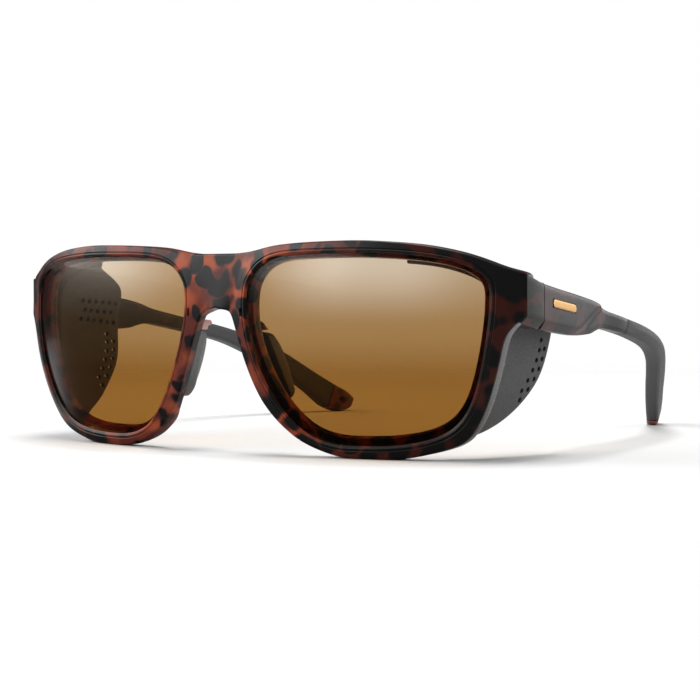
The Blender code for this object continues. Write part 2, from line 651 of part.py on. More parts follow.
def blade(grow):
    """Flat core that the rubber pad is moulded round."""
    sections = []
    for z in (BLADE_HIGH, 24.0, BLADE_LOW - grow):
        t = (PAD[0][0] - z) / (PAD[0][0] - PAD[-1][0]) * (len(PAD) - 1)
        row = sample(PAD, max(t, 0.0))
        rear_x, rear_y = row[3] + row[5] * 0.5, row[4] - 1.4
        seat = sphere_y(row[1] + 2.0, z, PAD_BACK_OF_RIM) + 0.9
        half = BLADE_THICK / 2 + grow
        sections.append([
            Vector((rear_x - half, seat - grow, z)), Vector((rear_x + half, seat - grow, z)),
            Vector((rear_x + half, rear_y + grow, z)), Vector((rear_x - half, rear_y + grow, z)),
        ])
    return loft(sections)


def build_nose_pad(side, label, origin, pad_pivot, rubber, shell, front):
    """Rubber pad on the blade of its arm, whose stub turns in the front."""
    pad = new_object(f"nose_pad_{label}", loft([pad_section(row) for row in PAD]), side, pad_pivot, rubber)
    cut(pad, f"cut_pad_slot_{label}", blade(TOUCH_GAP), side, pad_pivot)
    top = loft([pad_section(row) for row in ARM_TOP])
    arm = new_object(f"nose_pad_arm_{label}", top, side, pad_pivot, shell)
    add(arm, f"add_blade_{label}", blade(0.0), side, pad_pivot)
    seat = sphere_y(PAD_PIVOT_X, PAD_PIVOT_Z, PAD_BACK_OF_RIM)
    stub_centre = (PAD_PIVOT_X, seat - STUB_SINK, PAD_PIVOT_Z)
    add(arm, f"add_stub_{label}", cylinder(stub_centre, BACK, PIVOT_R, STUB_LENGTH, 12), side, pad_pivot)
    bore = cylinder(stub_centre, BACK, PIVOT_BORE_R, STUB_BORE_LENGTH, 12)
    cut(front, f"cut_pad_bore_{label}", bore, side, origin)


def bar_plate(inner, outer, margin):
    """Slanted plate between two x values, grown all round by a margin."""
    fall = BAR_LENGTH * BAR_SLOPE / 2
    half = BAR_HEIGHT / 2 + margin
    reach = BAR_LENGTH / 2 + margin
    return loft([[Vector((inner, y, z - half)), Vector((outer, y, z - half)),
                  Vector((outer, y, z + half)), Vector((inner, y, z + half))]
                 for y, z in ((BAR_Y - reach, BAR_Z - fall), (BAR_Y + reach, BAR_Z + fall))])


def build():
    tortoise = material("tortoise_nylon", (0.09, 0.055, 0.05), 0.5)
    glass = material("brown_lens", (0.35, 0.18, 0.05), 0.05, alpha=0.5)
    rubber = material("black_rubber", (0.05, 0.05, 0.052), 0.7)
    shield = material("grey_shield", (0.075, 0.075, 0.078), 0.8)
    steel = material("hinge_steel", (0.5, 0.5, 0.5), 0.35, metallic=1.0)
    gold = material("gold_bar", (0.75, 0.48, 0.2), 0.35, metallic=1.0)

    origin = empty("glasses_origin", (0, -DEPTH_MIDDLE, 0))
    front_pivot = empty("front_pivot", (0, 0, 0), origin)
    front = new_object("front_frame", half_front(), 1, front_pivot, tortoise)
    mirror = front.modifiers.new("both_halves", 'MIRROR')
    mirror.merge_threshold = 0.00005

    for side, label in ((1, "left"), (-1, "right")):
        temple_pivot = empty(f"temple_pivot_{label}", (side * HINGE_X, HINGE_Y, 35.0), origin)
        panel_pivot = empty(f"shield_pivot_{label}", (side * PANEL_HINGE_X, PANEL_HINGE_Y, 26.0), origin)
        pad_pivot = empty(f"pad_pivot_{label}", (side * PAD_PIVOT_X, 4.0, PAD_PIVOT_Z), origin)

        add(front, f"add_end_piece_{label}", end_piece(), side, front_pivot)
        new_object(f"lens_{label}", lens(), side, front_pivot, glass, smooth=60)

        temple = new_object(f"temple_{label}", temple_core(), side, temple_pivot, tortoise)
        hole = cylinder((LEASH_CUT_X, LEASH_HOLE_Y, LEASH_HOLE_Z), OUT, LEASH_HOLE_R, LEASH_CUT_LENGTH, 12)
        cut(temple, f"cut_leash_hole_{label}", hole, side, temple_pivot)
        new_object(f"temple_grip_{label}", temple_grip(), side, temple_pivot, rubber)
        build_hinge(side, label, front_pivot, temple_pivot, steel, front, temple)
        new_object(f"temple_bar_{label}", bar_plate(BAR_INNER, BAR_OUTER, 0.0), side, temple_pivot, gold)
        seat = bar_plate(BAR_SEAT_FLOOR, BAR_SEAT_OPEN, BAR_SEAT_MARGIN)
        cut(temple, f"cut_bar_seat_{label}", seat, side, temple_pivot)

        new_object(f"shield_clip_{label}", shield_clip(), side, front_pivot, shield)
        panel = new_object(f"shield_panel_{label}", shield_panel(), side, panel_pivot, shield)
        cut(panel, f"cut_vents_{label}", vents(), side, panel_pivot)

        build_nose_pad(side, label, front_pivot, pad_pivot, rubber, tortoise, front)


for old in list(bpy.data.objects):
    bpy.data.objects.remove(old)
PARTS = bpy.data.collections.new("glacier_glasses")
CUTTERS = bpy.data.collections.new("cutters")
for group in (PARTS, CUTTERS):
    bpy.context.scene.collection.children.link(group)
build()
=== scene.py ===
"""Looks of the glacier glasses: smooth shells, tinted lenses, tortoise plastic and rubber.

Shapes are worked out in millimetres in the design frame of the CAD: x = 0 is the
mid-plane and +X the wearer's left, +Y runs back along the temples from the front of the
bridge, and z = 0 is the surface that the glasses stand on.  `make_object` turns them
into metres in the frame shared with the CAD.
"""
import math

import bmesh
import bpy
import numpy as np
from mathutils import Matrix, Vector

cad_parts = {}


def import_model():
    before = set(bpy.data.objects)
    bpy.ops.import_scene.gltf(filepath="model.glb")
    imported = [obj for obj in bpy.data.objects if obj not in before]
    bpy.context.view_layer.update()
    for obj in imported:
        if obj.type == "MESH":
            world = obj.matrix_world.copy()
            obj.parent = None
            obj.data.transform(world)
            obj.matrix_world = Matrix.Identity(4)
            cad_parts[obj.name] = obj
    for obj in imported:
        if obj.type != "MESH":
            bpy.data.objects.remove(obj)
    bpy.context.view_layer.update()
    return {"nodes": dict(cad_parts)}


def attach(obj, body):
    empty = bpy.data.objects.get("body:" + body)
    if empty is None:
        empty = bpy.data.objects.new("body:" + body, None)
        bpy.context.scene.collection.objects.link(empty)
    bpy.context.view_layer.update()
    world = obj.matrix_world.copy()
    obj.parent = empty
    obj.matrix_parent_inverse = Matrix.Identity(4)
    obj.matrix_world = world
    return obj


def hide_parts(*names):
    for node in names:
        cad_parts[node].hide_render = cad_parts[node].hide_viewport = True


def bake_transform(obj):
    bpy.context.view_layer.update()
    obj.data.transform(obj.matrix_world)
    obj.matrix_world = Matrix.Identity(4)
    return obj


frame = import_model()

MM = 0.001
DEPTH_MIDDLE = 70.8  # from the front of the bridge to the middle of the depth
SIDES = ((1, "left"), (-1, "right"))

# ---------------- design values
SPHERE = np.array((22.47, 69.26, 32.09))
SPHERE_R = 72.36
EYE = np.array((37.0, 25.0))
BRIDGE_TOP, BRIDGE_BOTTOM = 46.5, 34.0
CREASE_TOP, CREASE_BOTTOM, CREASE_LEAST = 8.0, 4.0, 0.5
BRIDGE_SET_BACK = 1.2
RIM_DEPTH = 5.5
GROOVE_FRONT, GROOVE_BACK = 0.7, 3.0
GROOVE_BITE = 0.7
LENS_FRONT, LENS_BACK = 0.95, 2.75
LENS_BITE = 0.35
EDGE = 0.5
FRONT_LIP = 0.15
# bead round the opening: offset outwards and depth below the front, from the lens out
BEAD = [(0.0, 0.5), (0.03, 0.3), (0.1, 0.14), (0.22, 0.05), (0.38, 0.02), (0.54, 0.05),
        (0.64, 0.13), (0.70, 0.2), (0.78, 0.2), (0.82, 0.08), (0.9, 0.01)]
BEAD_WIDTH = 0.95
SLOT = (9.2, 33.0)  # x, z on the opening beside the small slot
SLOT_X, SLOT_HALF, SLOT_DEPTH = (-2.05, -1.5), 0.95, 0.9  # from there; half height; depth
OUTER_MIN_DEPTH = 3.2
PAD_RECESS, PAD_WALL = 1.5, 2.3
PAD_DRAFT = 0.2  # the recess is this much deeper at the back

# opening x, z; outline x, z; inner lip; pad recess
RIM = [
    (8.7, 38.0, 0.0, 34.0, 0.6, 0.0),
    (8.5, 35.2, 3.1, 33.3, 0.6, 0.0),
    (8.6, 33.0, 4.3, 32.0, 0.6, 1.0),
    (8.8, 31.0, 5.2, 30.0, 0.6, 1.0),
    (9.6, 27.2, 6.3, 26.8, 0.6, 1.0),
    (11.8, 20.8, 8.6, 20.3, 0.6, 1.0),
    (15.2, 13.9, 12.1, 12.6, 0.7, 1.0),
    (19.3, 8.4, 17.0, 6.8, 0.9, 0.0),
    (24.5, 4.4, 23.0, 2.7, 1.0, 0.0),
    (32.0, 2.6, 33.0, 0.0, 1.1, 0.0),
    (40.5, 2.7, 42.0, 0.0, 1.1, 0.0),
    (48.6, 3.7, 49.8, 1.3, 1.1, 0.0),
    (55.3, 6.2, 57.6, 4.0, 1.1, 0.0),
    (59.8, 11.0, 62.8, 11.0, 1.0, 0.0),
    (62.7, 18.2, 66.0, 20.0, 0.9, 0.0),
    (64.4, 26.0, 67.9, 27.7, 0.8, 0.0),
    (65.0, 30.6, 69.6, 30.4, 0.8, 0.0),
    (65.2, 33.2, 71.4, 32.3, 0.8, 0.0),
    (65.25, 36.2, 71.4, 37.0, 0.8, 0.0),
    (64.9, 39.2, 71.4, 41.1, 0.8, 0.0),
    (62.7, 42.1, 66.8, 43.2, 0.8, 0.0),
    (57.0, 44.6, 59.3, 46.2, 0.8, 0.0),
    (47.5, 46.0, 48.5, 48.3, 0.8, 0.0),
    (36.5, 46.5, 37.0, 49.0, 0.8, 0.0),
    (26.5, 46.4, 26.5, 48.8, 0.8, 0.0),
    (18.0, 45.9, 17.0, 48.2, 0.7, 0.0),
    (13.2, 44.3, 9.5, 46.9, 0.6, 0.0),
    (11.0, 42.6, 4.5, 46.5, 0.6, 0.0),
    (9.8, 41.0, 0.0, 46.5, 0.6, 0.0),
    (9.1, 39.6, 0.0, 40.3, 0.6, 0.0),
]
TOP_MIDDLE_ROW = 28
PER_ROW = 14  # stations between two rim rows
OPENING_SOFT, OUTLINE_SOFT = 4.5, 3.2  # smoothing, in stations
BACK_ROUND = 0.6  # rounding of the outer back edge
GLOSSY_X, GLOSSY_Z = 50.0, 36.0  # the side wall is glossy further out and below

SEAM_Y = 23.25
CORNER = (71.5, 16.25)  # x, y of the upright edge at the front corner

HINGE_X, HINGE_Y = 68.3, 23.4
HINGE_LOW, HINGE_HIGH = 31.6, 38.2
HINGE_MIDDLE = (HINGE_LOW + HINGE_HIGH) / 2
END_INNER = 67.5
END_BULGE = 0.8
# end block: value at the corner, and its change from there to the seam
END_TOP, END_INNER_TOP = (41.1, -1.5), (41.5, -1.9)
END_BOTTOM, END_CHAMFER, END_BEVEL = (30.9, -1.6), (32.2, -1.0), (0.9, 0.6)
KNUCKLE_BORE, SCREW_BORE = 1.8, 0.8  # radii
FRONT_SCREW, TEMPLE_SCREW = (69.2, 19.2), (70.1, 28.6)  # x, y
LEAF_THICK, LEAF_ROOM = 0.65, 0.4
FRONT_LEAF = (66.5, 17.2), (END_INNER, 22.9)  # pocket from x, y to x, y
TEMPLE_LEAF, TEMPLE_LEAF_HALF = ((67.5, 23.0), (68.7, 31.0)), 1.7

# top edge y, z; bottom edge y, z; outer face x; thickness; bottom chamfer
TEMPLE = [
    (23.55, 39.55, 23.55, 29.3, 72.3, 3.6, 1.8),
    (31.6, 38.4, 31.6, 28.4, 72.3, 3.6, 1.8),
    (42.5, 37.0, 44.0, 27.5, 72.2, 3.7, 1.5),
    (53.0, 35.5, 51.5, 27.7, 72.0, 3.8, 1.0),
    (57.5, 34.5, 56.0, 28.5, 71.9, 3.9, 0.8),
    (61.2, 33.35, 59.5, 28.9, 71.8, 4.0, 0.8),
    (73.0, 31.2, 71.0, 27.45, 71.8, 4.1, 0.8),
    (85.0, 29.3, 84.0, 25.3, 71.3, 4.2, 0.8),
    (97.0, 26.9, 95.5, 22.8, 70.0, 4.2, 0.8),
    (107.0, 24.0, 103.5, 19.8, 68.0, 4.1, 0.8),
    (115.5, 20.5, 110.5, 16.2, 65.3, 4.0, 0.8),
    (123.0, 16.3, 117.5, 12.0, 62.3, 3.9, 0.8),
    (130.0, 12.0, 125.0, 6.6, 59.2, 3.7, 0.8),
    (136.0, 8.6, 132.0, 1.4, 56.7, 3.6, 0.8),
    (140.5, 6.2, 136.6, 0.0, 54.8, 3.5, 0.8),
    (143.3, 3.9, 141.0, 1.0, 53.4, 3.0, 0.8),
]
GRIP_FIRST, GRIP_LAST = 6, 13  # temple rows between which the rubber lies
TIP_ROUND = 14.6  # temple row from which the tip closes
TIP_Y = 132.0  # the tip's own colour starts here, under the rubber
CREASE_LOW, CREASE_HIGH, CREASE_DEPTH = (39.8, 28.0), (56.8, 35.6), 0.85  # y, z; y, z; depth
NECK_INSET = 0.9
TOUCH_GAP = 0.3
LEASH_HOLE = (137.7, 3.7, 1.3)  # y, z, radius
LEASH_X, LEASH_REACH = 53.0, 14.0
GRIP_START, GRIP_END = GRIP_FIRST + 0.03, GRIP_LAST - 0.08
GRIP_TUCK, GRIP_CROWN = 0.22, 0.45

BAR_Y, BAR_Z, BAR_LENGTH, BAR_HEIGHT, BAR_SLOPE = 34.2, 34.4, 12.5, 1.8, -0.115
BAR_X, BAR_SEAT_X, BAR_ROOM = (72.1, 72.42), (71.95, 73.0), 0.15

# Shield rows: outer face x, z; y where the shell starts behind the rim; rear edge y
SHIELD = [
    (44.5, 46.2, 11.0, 12.6),
    (50.0, 45.8, 11.6, 17.0),
    (55.0, 44.7, 13.2, 23.4),
    (58.4, 43.4, 14.6, 29.4),
    (60.8, 42.2, 15.6, 34.4),
    (62.6, 40.7, 16.4, 39.4),
    (64.2, 38.4, 17.2, 42.6),
    (65.3, 35.6, 17.8, 43.4),
    (65.7, 32.4, 17.8, 42.7),
    (65.6, 29.0, 17.6, 42.2),
    (65.1, 25.8, 17.2, 41.8),
    (64.5, 22.2, 16.8, 41.2),
    (63.9, 18.8, 16.5, 40.0),
    (63.3, 15.8, 16.4, 37.7),
    (62.4, 12.8, 16.2, 34.4),
    (61.4, 10.6, 16.1, 31.6),
    (60.2, 8.4, 15.9, 28.2),
    (58.8, 6.4, 15.5, 23.6),
    (56.2, 4.7, 15.0, 19.4),
    (52.0, 3.6, 14.2, 16.2),
]
SHIELD_WALL = 1.1
SHIELD_FLANGE = 2.0
SHIELD_LEAN, SHIELD_ROUND = 0.05, 0.35  # inwards at the rear edge; of that edge
SHIELD_SOFT = 6.0  # smoothing, in stations
VENT_R, VENT_X, VENT_REACH = 0.59, 64.0, 8.0
VENT_STRETCH = 1.35  # the vents are a little longer along the temple
# first vent y, z; count; step back; drop per step
VENT_ROWS = [(27.2, 35.5, 6, 2.72, 0.18), (28.4, 33.0, 5, 2.65, 0.2), (27.0, 30.7, 6, 2.64, 0.25)]
# first vent y, z; count; step down; bend forward
VENT_COLUMNS = [(36.95, 26.5, 6, 2.3, 0.23), (39.3, 24.4, 6, 2.3, 0.31)]

# Pads and their arms: z; edge against the rim x; front ridge x; rear ridge x, y; rear width
PAD = [
    (28.4, 6.1, 7.2, 8.9, 7.6, 1.6),
    (25.0, 7.2, 8.3, 10.0, 9.2, 2.2),
    (20.2, 8.9, 9.9, 11.7, 9.7, 2.4),
    (15.6, 10.9, 11.4, 13.5, 9.3, 2.4),
    (12.8, 12.3, 12.9, 15.2, 8.2, 1.8),
]
ARM = [
    (31.1, 5.2, 6.2, 7.7, 5.6, 1.5),
    (28.7, 6.0, 7.1, 8.8, 6.9, 1.6),
]
PAD_CLEAR = 0.35
END_SHARE = 0.45  # size of the last ring of a pad or arm
PAD_BACK_OF_RIM = 6.5
PAD_PIVOT = (7.0, 30.4)


# ---------------- curves
def mid_slope(left, right):
    """Slope at a row from the slopes beside it, or none where they change sign."""
    product, total = left * right, left + right
    return np.where(product > 0, 2 * product / np.where(total == 0, 1, total), 0.0)


def curve(rows, places, closed=False):
    """Values at fractional rows, on the smooth curve through the rows."""
    rows = np.array(rows, float)
    places = np.atleast_1d(np.array(places, float))
    first = np.floor(places).astype(int)
    f = (places - first)[:, None]
    last = len(rows) - 1
    picks = [(first + k) % len(rows) if closed else np.clip(first + k, 0, last)
             for k in (-1, 0, 1, 2)]
    a, b, c, d = (rows[p] for p in picks)
    start, end = mid_slope(b - a, c - b), mid_slope(c - b, d - c)
    return (b * (1 + 2 * f) * (1 - f) ** 2 + start * f * (1 - f) ** 2
            + c * f * f * (3 - 2 * f) - end * f * f * (1 - f))


def bell(width):
    """Weights of a smoothing curve, and how many stations they reach to each side."""
    reach = int(3 * width)
    weights = np.exp(-0.5 * (np.arange(-reach, reach + 1) / width) ** 2)
    return reach, weights / weights.sum()


def soften(points, width):
    """A closed line, smoothed over a width in stations without shrinking it."""
    reach, weights = bell(width)

    def once(line):
        padded = np.vstack([line[-reach:], line, line[:reach]])
        return np.stack([np.convolve(padded[:, k], weights, "valid")
                         for k in range(line.shape[1])], 1)
    smooth = once(points)
    return 2 * smooth - once(smooth)


def soften_open(points, width):
    """An open line, smoothed over a width in stations, with its end points kept."""
    ends = points[0], points[-1]
    n = len(points)
    line = np.vstack([2 * points[0] - points[-1:0:-1], points, 2 * points[-1] - points[-2::-1]])
    _, weights = bell(width)
    out = np.stack([np.convolve(line[:, k], weights, "same") for k in range(line.shape[1])], 1)
    out = out[n - 1: 2 * n - 1]
    out[0], out[-1] = ends
    return out


def outward_normals(line):
    step = np.roll(line, -1, 0) - np.roll(line, 1, 0)
    normal = np.stack([step[:, 1], -step[:, 0]], 1)
    return normal / np.linalg.norm(normal, axis=1)[:, None]


def sphere_y(x, z, depth=0.0):
    """The lens sphere, or the one that lies a depth inside it."""
    return SPHERE[1] - np.sqrt((SPHERE_R - depth) ** 2 - (x - SPHERE[0]) ** 2
                               - (z - SPHERE[2]) ** 2)


def crease_x(z):
    """Half the width of the bridge panel."""
    height = BRIDGE_TOP - BRIDGE_BOTTOM
    return CREASE_BOTTOM + (CREASE_TOP - CREASE_BOTTOM) * (z - BRIDGE_BOTTOM) / height


def front_y(x, z):
    """Front surface: the sphere, and between the creases the bridge panel."""
    edge = np.maximum(crease_x(z), CREASE_LEAST)
    middle = -BRIDGE_SET_BACK * (1 - (z - BRIDGE_BOTTOM) / (BRIDGE_TOP - BRIDGE_BOTTOM))
    panel = middle + (sphere_y(edge, z) - middle) * (x / edge) ** 2
    return np.where(x < edge, panel, sphere_y(x, z))


def sunk(points, depth):
    """Points below the front surface, along the sphere's radius: x, y, z rows."""
    front = np.stack([points[:, 0], front_y(points[:, 0], points[:, 1]), points[:, 1]], 1)
    toward = SPHERE - front
    return front + toward / np.linalg.norm(toward, axis=1)[:, None] * depth


def bezier(start, control, end, count):
    """Points of a rounded corner, both ends included."""
    out = []
    for f in np.linspace(0, 1, count):
        out.append(start * (1 - f) ** 2 + control * 2 * f * (1 - f) + end * f * f)
    return out


def rounded(corners, radii, steps, spans):
    """Closed section through corners with rounded edges and extra points on the flats."""
    count = len(corners)
    out = []
    for i, corner in enumerate(corners):
        before, after = corners[i - 1], corners[(i + 1) % count]
        to_before, to_after = before - corner, after - corner
        a = corner + to_before / np.linalg.norm(to_before) * radii[i]
        b = corner + to_after / np.linalg.norm(to_after) * radii[i]
        out += bezier(a, corner, b, steps)
        following = corners[(i + 1) % count]
        back = corner - following
        goal = following + back / np.linalg.norm(back) * radii[(i + 1) % count]
        for f in range(1, spans[i]):
            out.append(b + (goal - b) * f / spans[i])
    return out


# ---------------- meshes
WELD = 0.0005  # mm, before a mesh is scaled
WELD_DONE = 0.000002  # m, after the booleans
SMOOTH, SMOOTH_SMALL, SMOOTH_LENS, TOOL_SMOOTH = 38, 50, 40, 30  # degrees
STEEL_SMOOTH, STEEL_BEVEL = 35, 0.00006


def make_object(name, bm, side, materials, sharp):
    """Object from a bmesh in design millimetres of the left half; -1 mirrors it."""
    for vert in bm.verts:
        vert.co.x *= side
    bmesh.ops.remove_doubles(bm, verts=bm.verts, dist=WELD)
    bm.normal_update()
    bmesh.ops.recalc_face_normals(bm, faces=bm.faces)
    for vert in bm.verts:
        vert.co = Vector((vert.co.x, vert.co.y - DEPTH_MIDDLE, vert.co.z)) * MM
    mesh = bpy.data.meshes.new(name)
    bm.to_mesh(mesh)
    bm.free()
    for material in materials:
        mesh.materials.append(material)
    obj = bpy.data.objects.new(name, mesh)
    bpy.context.scene.collection.objects.link(obj)
    mesh.shade_smooth()
    mesh.set_sharp_from_angle(angle=math.radians(sharp))
    return obj


def skin(rings, closed_rows=False):
    """bmesh skin over rings of points, closed into a loop or with a cap on both ends."""
    bm = bmesh.new()
    verts = [[bm.verts.new(p) for p in ring] for ring in rings]
    stations, size = len(verts), len(verts[0])
    for i in range(stations if closed_rows else stations - 1):
        a, b = verts[i], verts[(i + 1) % stations]
        for k in range(size):
            m = (k + 1) % size
            bm.faces.new((a[k], a[m], b[m], b[k]))
    if not closed_rows:
        for ring in (verts[0], verts[-1]):
            cap(bm, ring)
    return bm


def cap(bm, ring):
    """Fan with one inner ring, so that an end face shades evenly."""
    centre = sum((v.co for v in ring), Vector()) / len(ring)
    middle = bm.verts.new(centre)
    inner = [bm.verts.new(centre + (v.co - centre) * 0.9) for v in ring]
    for k in range(len(ring)):
        m = (k + 1) % len(ring)
        bm.faces.new((ring[k], ring[m], inner[m], inner[k]))
        bm.faces.new((inner[k], inner[m], middle))


def cylinder(centre, axis, radius, length, sides):
    bm = bmesh.new()
    bmesh.ops.create_cone(bm, cap_ends=True, segments=sides, radius1=radius, radius2=radius,
                          depth=length)
    turn = Vector(axis).to_track_quat('Z', 'Y')
    for vert in bm.verts:
        vert.co = turn @ vert.co + Vector(centre)
    return bm


def box(low, high):
    bm = bmesh.new()
    bmesh.ops.create_cube(bm, size=1.0)
    for vert in bm.verts:
        vert.co = Vector(low[k] + (vert.co[k] + 0.5) * (high[k] - low[k]) for k in range(3))
    return bm


def joined(pieces):
    """One bmesh out of several, which it frees."""
    whole = bmesh.new()
    for piece in pieces:
        mesh = bpy.data.meshes.new("loose")
        piece.to_mesh(mesh)
        piece.free()
        whole.from_mesh(mesh)
        bpy.data.meshes.remove(mesh)
    return whole


def combine(obj, steps, side, sharp):
    """Applies boolean steps, each an operation and a bmesh of the left half."""
    for operation, shape in steps:
        tool = make_object("tool", shape, side, list(obj.data.materials), TOOL_SMOOTH)
        modifier = obj.modifiers.new("step", 'BOOLEAN')
        modifier.operation = operation
        modifier.solver = 'EXACT'
        modifier.object = tool
        view = bpy.context.evaluated_depsgraph_get()
        done = bpy.data.meshes.new_from_object(obj.evaluated_get(view))
        obj.modifiers.clear()
        old = obj.data
        obj.data = done
        bpy.data.meshes.remove(old)
        tool_mesh = tool.data
        bpy.data.objects.remove(tool)
        bpy.data.meshes.remove(tool_mesh)
    bm = bmesh.new()
    bm.from_mesh(obj.data)
    bmesh.ops.remove_doubles(bm, verts=bm.verts, dist=WELD_DONE)
    bmesh.ops.dissolve_degenerate(bm, dist=WELD_DONE, edges=bm.edges)
    bm.to_mesh(obj.data)
    bm.free()
    obj.data.shade_smooth()
    obj.data.set_sharp_from_angle(angle=math.radians(sharp))


# ---------------- materials
class Look:
    """A Principled material and the nodes that drive it."""

    def __init__(self, name, **sockets):
        self.material = bpy.data.materials.new(name)
        self.material.use_nodes = True
        self.tree = self.material.node_tree
        self.shader = self.tree.nodes["Principled BSDF"]
        for socket, value in sockets.items():
            self.shader.inputs[socket.replace("_", " ")].default_value = value
        coordinates = self.tree.nodes.new("ShaderNodeTexCoord")
        self.place = coordinates.outputs["Object"]

    def node(self, kind, inputs=(), **settings):
        made = self.tree.nodes.new("ShaderNode" + kind)
        for key, value in settings.items():
            setattr(made, key, value)
        for key, value in dict(inputs).items():
            if isinstance(value, bpy.types.NodeSocket):
                self.tree.links.new(value, made.inputs[key])
            else:
                made.inputs[key].default_value = value
        return made

    def noise(self, scale, detail=2.0, roughness=0.5, place=None, output="Fac"):
        made = self.node("TexNoise", {"Vector": place or self.place, "Scale": scale,
                                      "Detail": detail, "Roughness": roughness})
        return made.outputs[output]

    def math(self, operation, a, b=0.0, clamp=False):
        made = self.node("Math", {0: a, 1: b}, operation=operation, use_clamp=clamp)
        return made.outputs[0]

    def span(self, value, low, high, to_low=0.0, to_high=1.0):
        made = self.node("MapRange", {"Value": value, "From Min": low, "From Max": high,
                                      "To Min": to_low, "To Max": to_high},
                         interpolation_type='SMOOTHSTEP')
        return made.outputs["Result"]

    def blend(self, share, a, b):
        made = self.node("Mix", {0: share, 6: a, 7: b}, data_type='RGBA')
        return made.outputs[2]

    def drive(self, socket, value):
        self.tree.links.new(value, self.shader.inputs[socket])

    def bump(self, height, distance):
        made = self.node("Bump", {"Height": height, "Distance": distance})
        self.drive("Normal", made.outputs["Normal"])

    def see_through(self, share, **colour):
        """Lets a transparent shader take over by a share."""
        clear = self.node("BsdfTransparent", colour)
        mix = self.node("MixShader", {0: share, 1: self.shader.outputs[0], 2: clear.outputs[0]})
        self.tree.links.new(mix.outputs[0], self.tree.nodes["Material Output"].inputs["Surface"])


def darker(colour, share):
    return tuple(share * c for c in colour[:3]) + (1.0,)


# metres across the front between which the tortoise changes: more orange at the bridge, and painted
# shade with more dark patches and darker red towards the ends of the front
SHADE_PATCH_X, GLOW_X = (0.010, 0.056), (0.010, 0.034)
SHADE_LEFT_X, SHADE_RIGHT_X = (0.012, 0.055), (-0.055, -0.015)
# metres up, and out from the mid-plane, between which painted reflection of the light above pales
# the lens tint
LOWER_GLARE_Z, GLARE_Z = (0.017, 0.030), (0.029, 0.0445)
GLARE_IN_X, GLARE_OUT_X = (0.008, 0.036), (0.046, 0.066)


def tortoise(name, dark, maroon, orange, roughness, lean=0.0, scale=230.0, shade_patches=0.0, dim=0.0,
             gloss=0.32):
    """Dark rounded patches over red-brown, with more of them by lean everywhere; painted shade adds
    dark patches towards +X and darkens the red towards both ends of the front, most towards +X.
    """
    look = Look(name, Specular_IOR_Level=gloss)
    shift = look.noise(110.0, 2.0, 0.5, output="Color")
    warp = look.node("VectorMath", {0: shift, 1: (0.5, 0.5, 0.5)}, operation='SUBTRACT')
    warp = look.node("VectorMath", {0: warp.outputs[0], 1: (0.0075, 0.0075, 0.0075)},
                     operation='MULTIPLY')
    place = look.node("VectorMath", {0: look.place, 1: warp.outputs[0]}, operation='ADD').outputs[0]
    cells = look.node("TexVoronoi", {"Vector": place, "Scale": scale, "Randomness": 1.0,
                                     "Smoothness": 0.2}, feature='SMOOTH_F1').outputs["Distance"]
    region = look.noise(45.0, 1.0)
    across = look.node("SeparateXYZ", {0: look.place}).outputs["X"]
    # painted shade: more dark patches towards +X
    limit = look.math('ADD', look.span(region, 0.36, 0.64, 0.36 + lean, 0.56 + lean),
                      look.span(across, *SHADE_PATCH_X, 0.0, shade_patches))
    edge = look.math('SUBTRACT', limit, cells)
    sharp = look.span(edge, -0.05, 0.05)
    soft = look.span(edge, -0.16, 0.07)
    patch = look.blend(look.span(look.noise(80.0, 1.0), 0.46, 0.58), sharp, soft)
    off_bridge = look.math('ABSOLUTE', across)
    bright = look.math('MULTIPLY', look.span(look.noise(85.0, 2.0, 0.5), 0.44, 0.62),
                       look.span(off_bridge, *GLOW_X, 1.0, 0.35))
    glow = look.blend(bright, maroon, orange)
    smoke = look.span(look.noise(150.0, 3.0, 0.55), 0.52, 0.72, 0.0, 0.75)
    red = look.blend(smoke, glow, darker(maroon, 0.35))
    # painted shade: the red darkens towards both ends of the front, most towards +X
    painted_shade = look.math('ADD', look.span(across, *SHADE_LEFT_X, 0.0, dim),
                      look.span(across, *SHADE_RIGHT_X, 0.6 * dim, 0.0))
    red = look.blend(painted_shade, red, darker(maroon, 0.30))
    look.drive("Base Color", look.blend(patch, red, dark))
    fine = look.noise(2600.0, 2.0, 0.6)
    wide = look.noise(240.0, 2.0, 0.5)
    rough = look.math('ADD', look.span(fine, 0.3, 0.7, roughness - 0.04, roughness + 0.04),
                      look.span(wide, 0.3, 0.7, -0.02, 0.02))
    look.drive("Roughness", rough)
    look.bump(fine, 0.00001)
    return look.material


def rubber(name, dark, light, roughness, grain_scale, grain_depth):
    """Speckled matte rubber with a fine grain."""
    look = Look(name, Specular_IOR_Level=0.5)
    grain = look.noise(grain_scale, 3.0, 0.65)
    wide = look.noise(90.0, 2.0, 0.5)
    speck = look.blend(look.span(grain, 0.30, 0.72), dark, light)
    tone = look.span(wide, 0.3, 0.7, 0.0, 0.25)
    look.drive("Base Color", look.blend(tone, speck, light))
    look.drive("Roughness", look.span(grain, 0.25, 0.75, roughness - 0.07, roughness + 0.07))
    look.bump(grain, grain_depth)
    return look.material


def metal(name, dark, light, roughness, scale):
    """Metal with fine lines, drawn out by the scale along each axis."""
    look = Look(name, Metallic=1.0)
    stretch = look.node("Mapping", {"Vector": look.place, "Scale": scale})
    lines = look.noise(1.0, 3.0, 0.6, place=stretch.outputs[0])
    look.drive("Base Color", look.blend(look.span(lines, 0.3, 0.7), dark, light))
    look.drive("Roughness", look.span(lines, 0.3, 0.7, roughness - 0.08, roughness + 0.1))
    look.bump(lines, 0.00001)
    return look.material


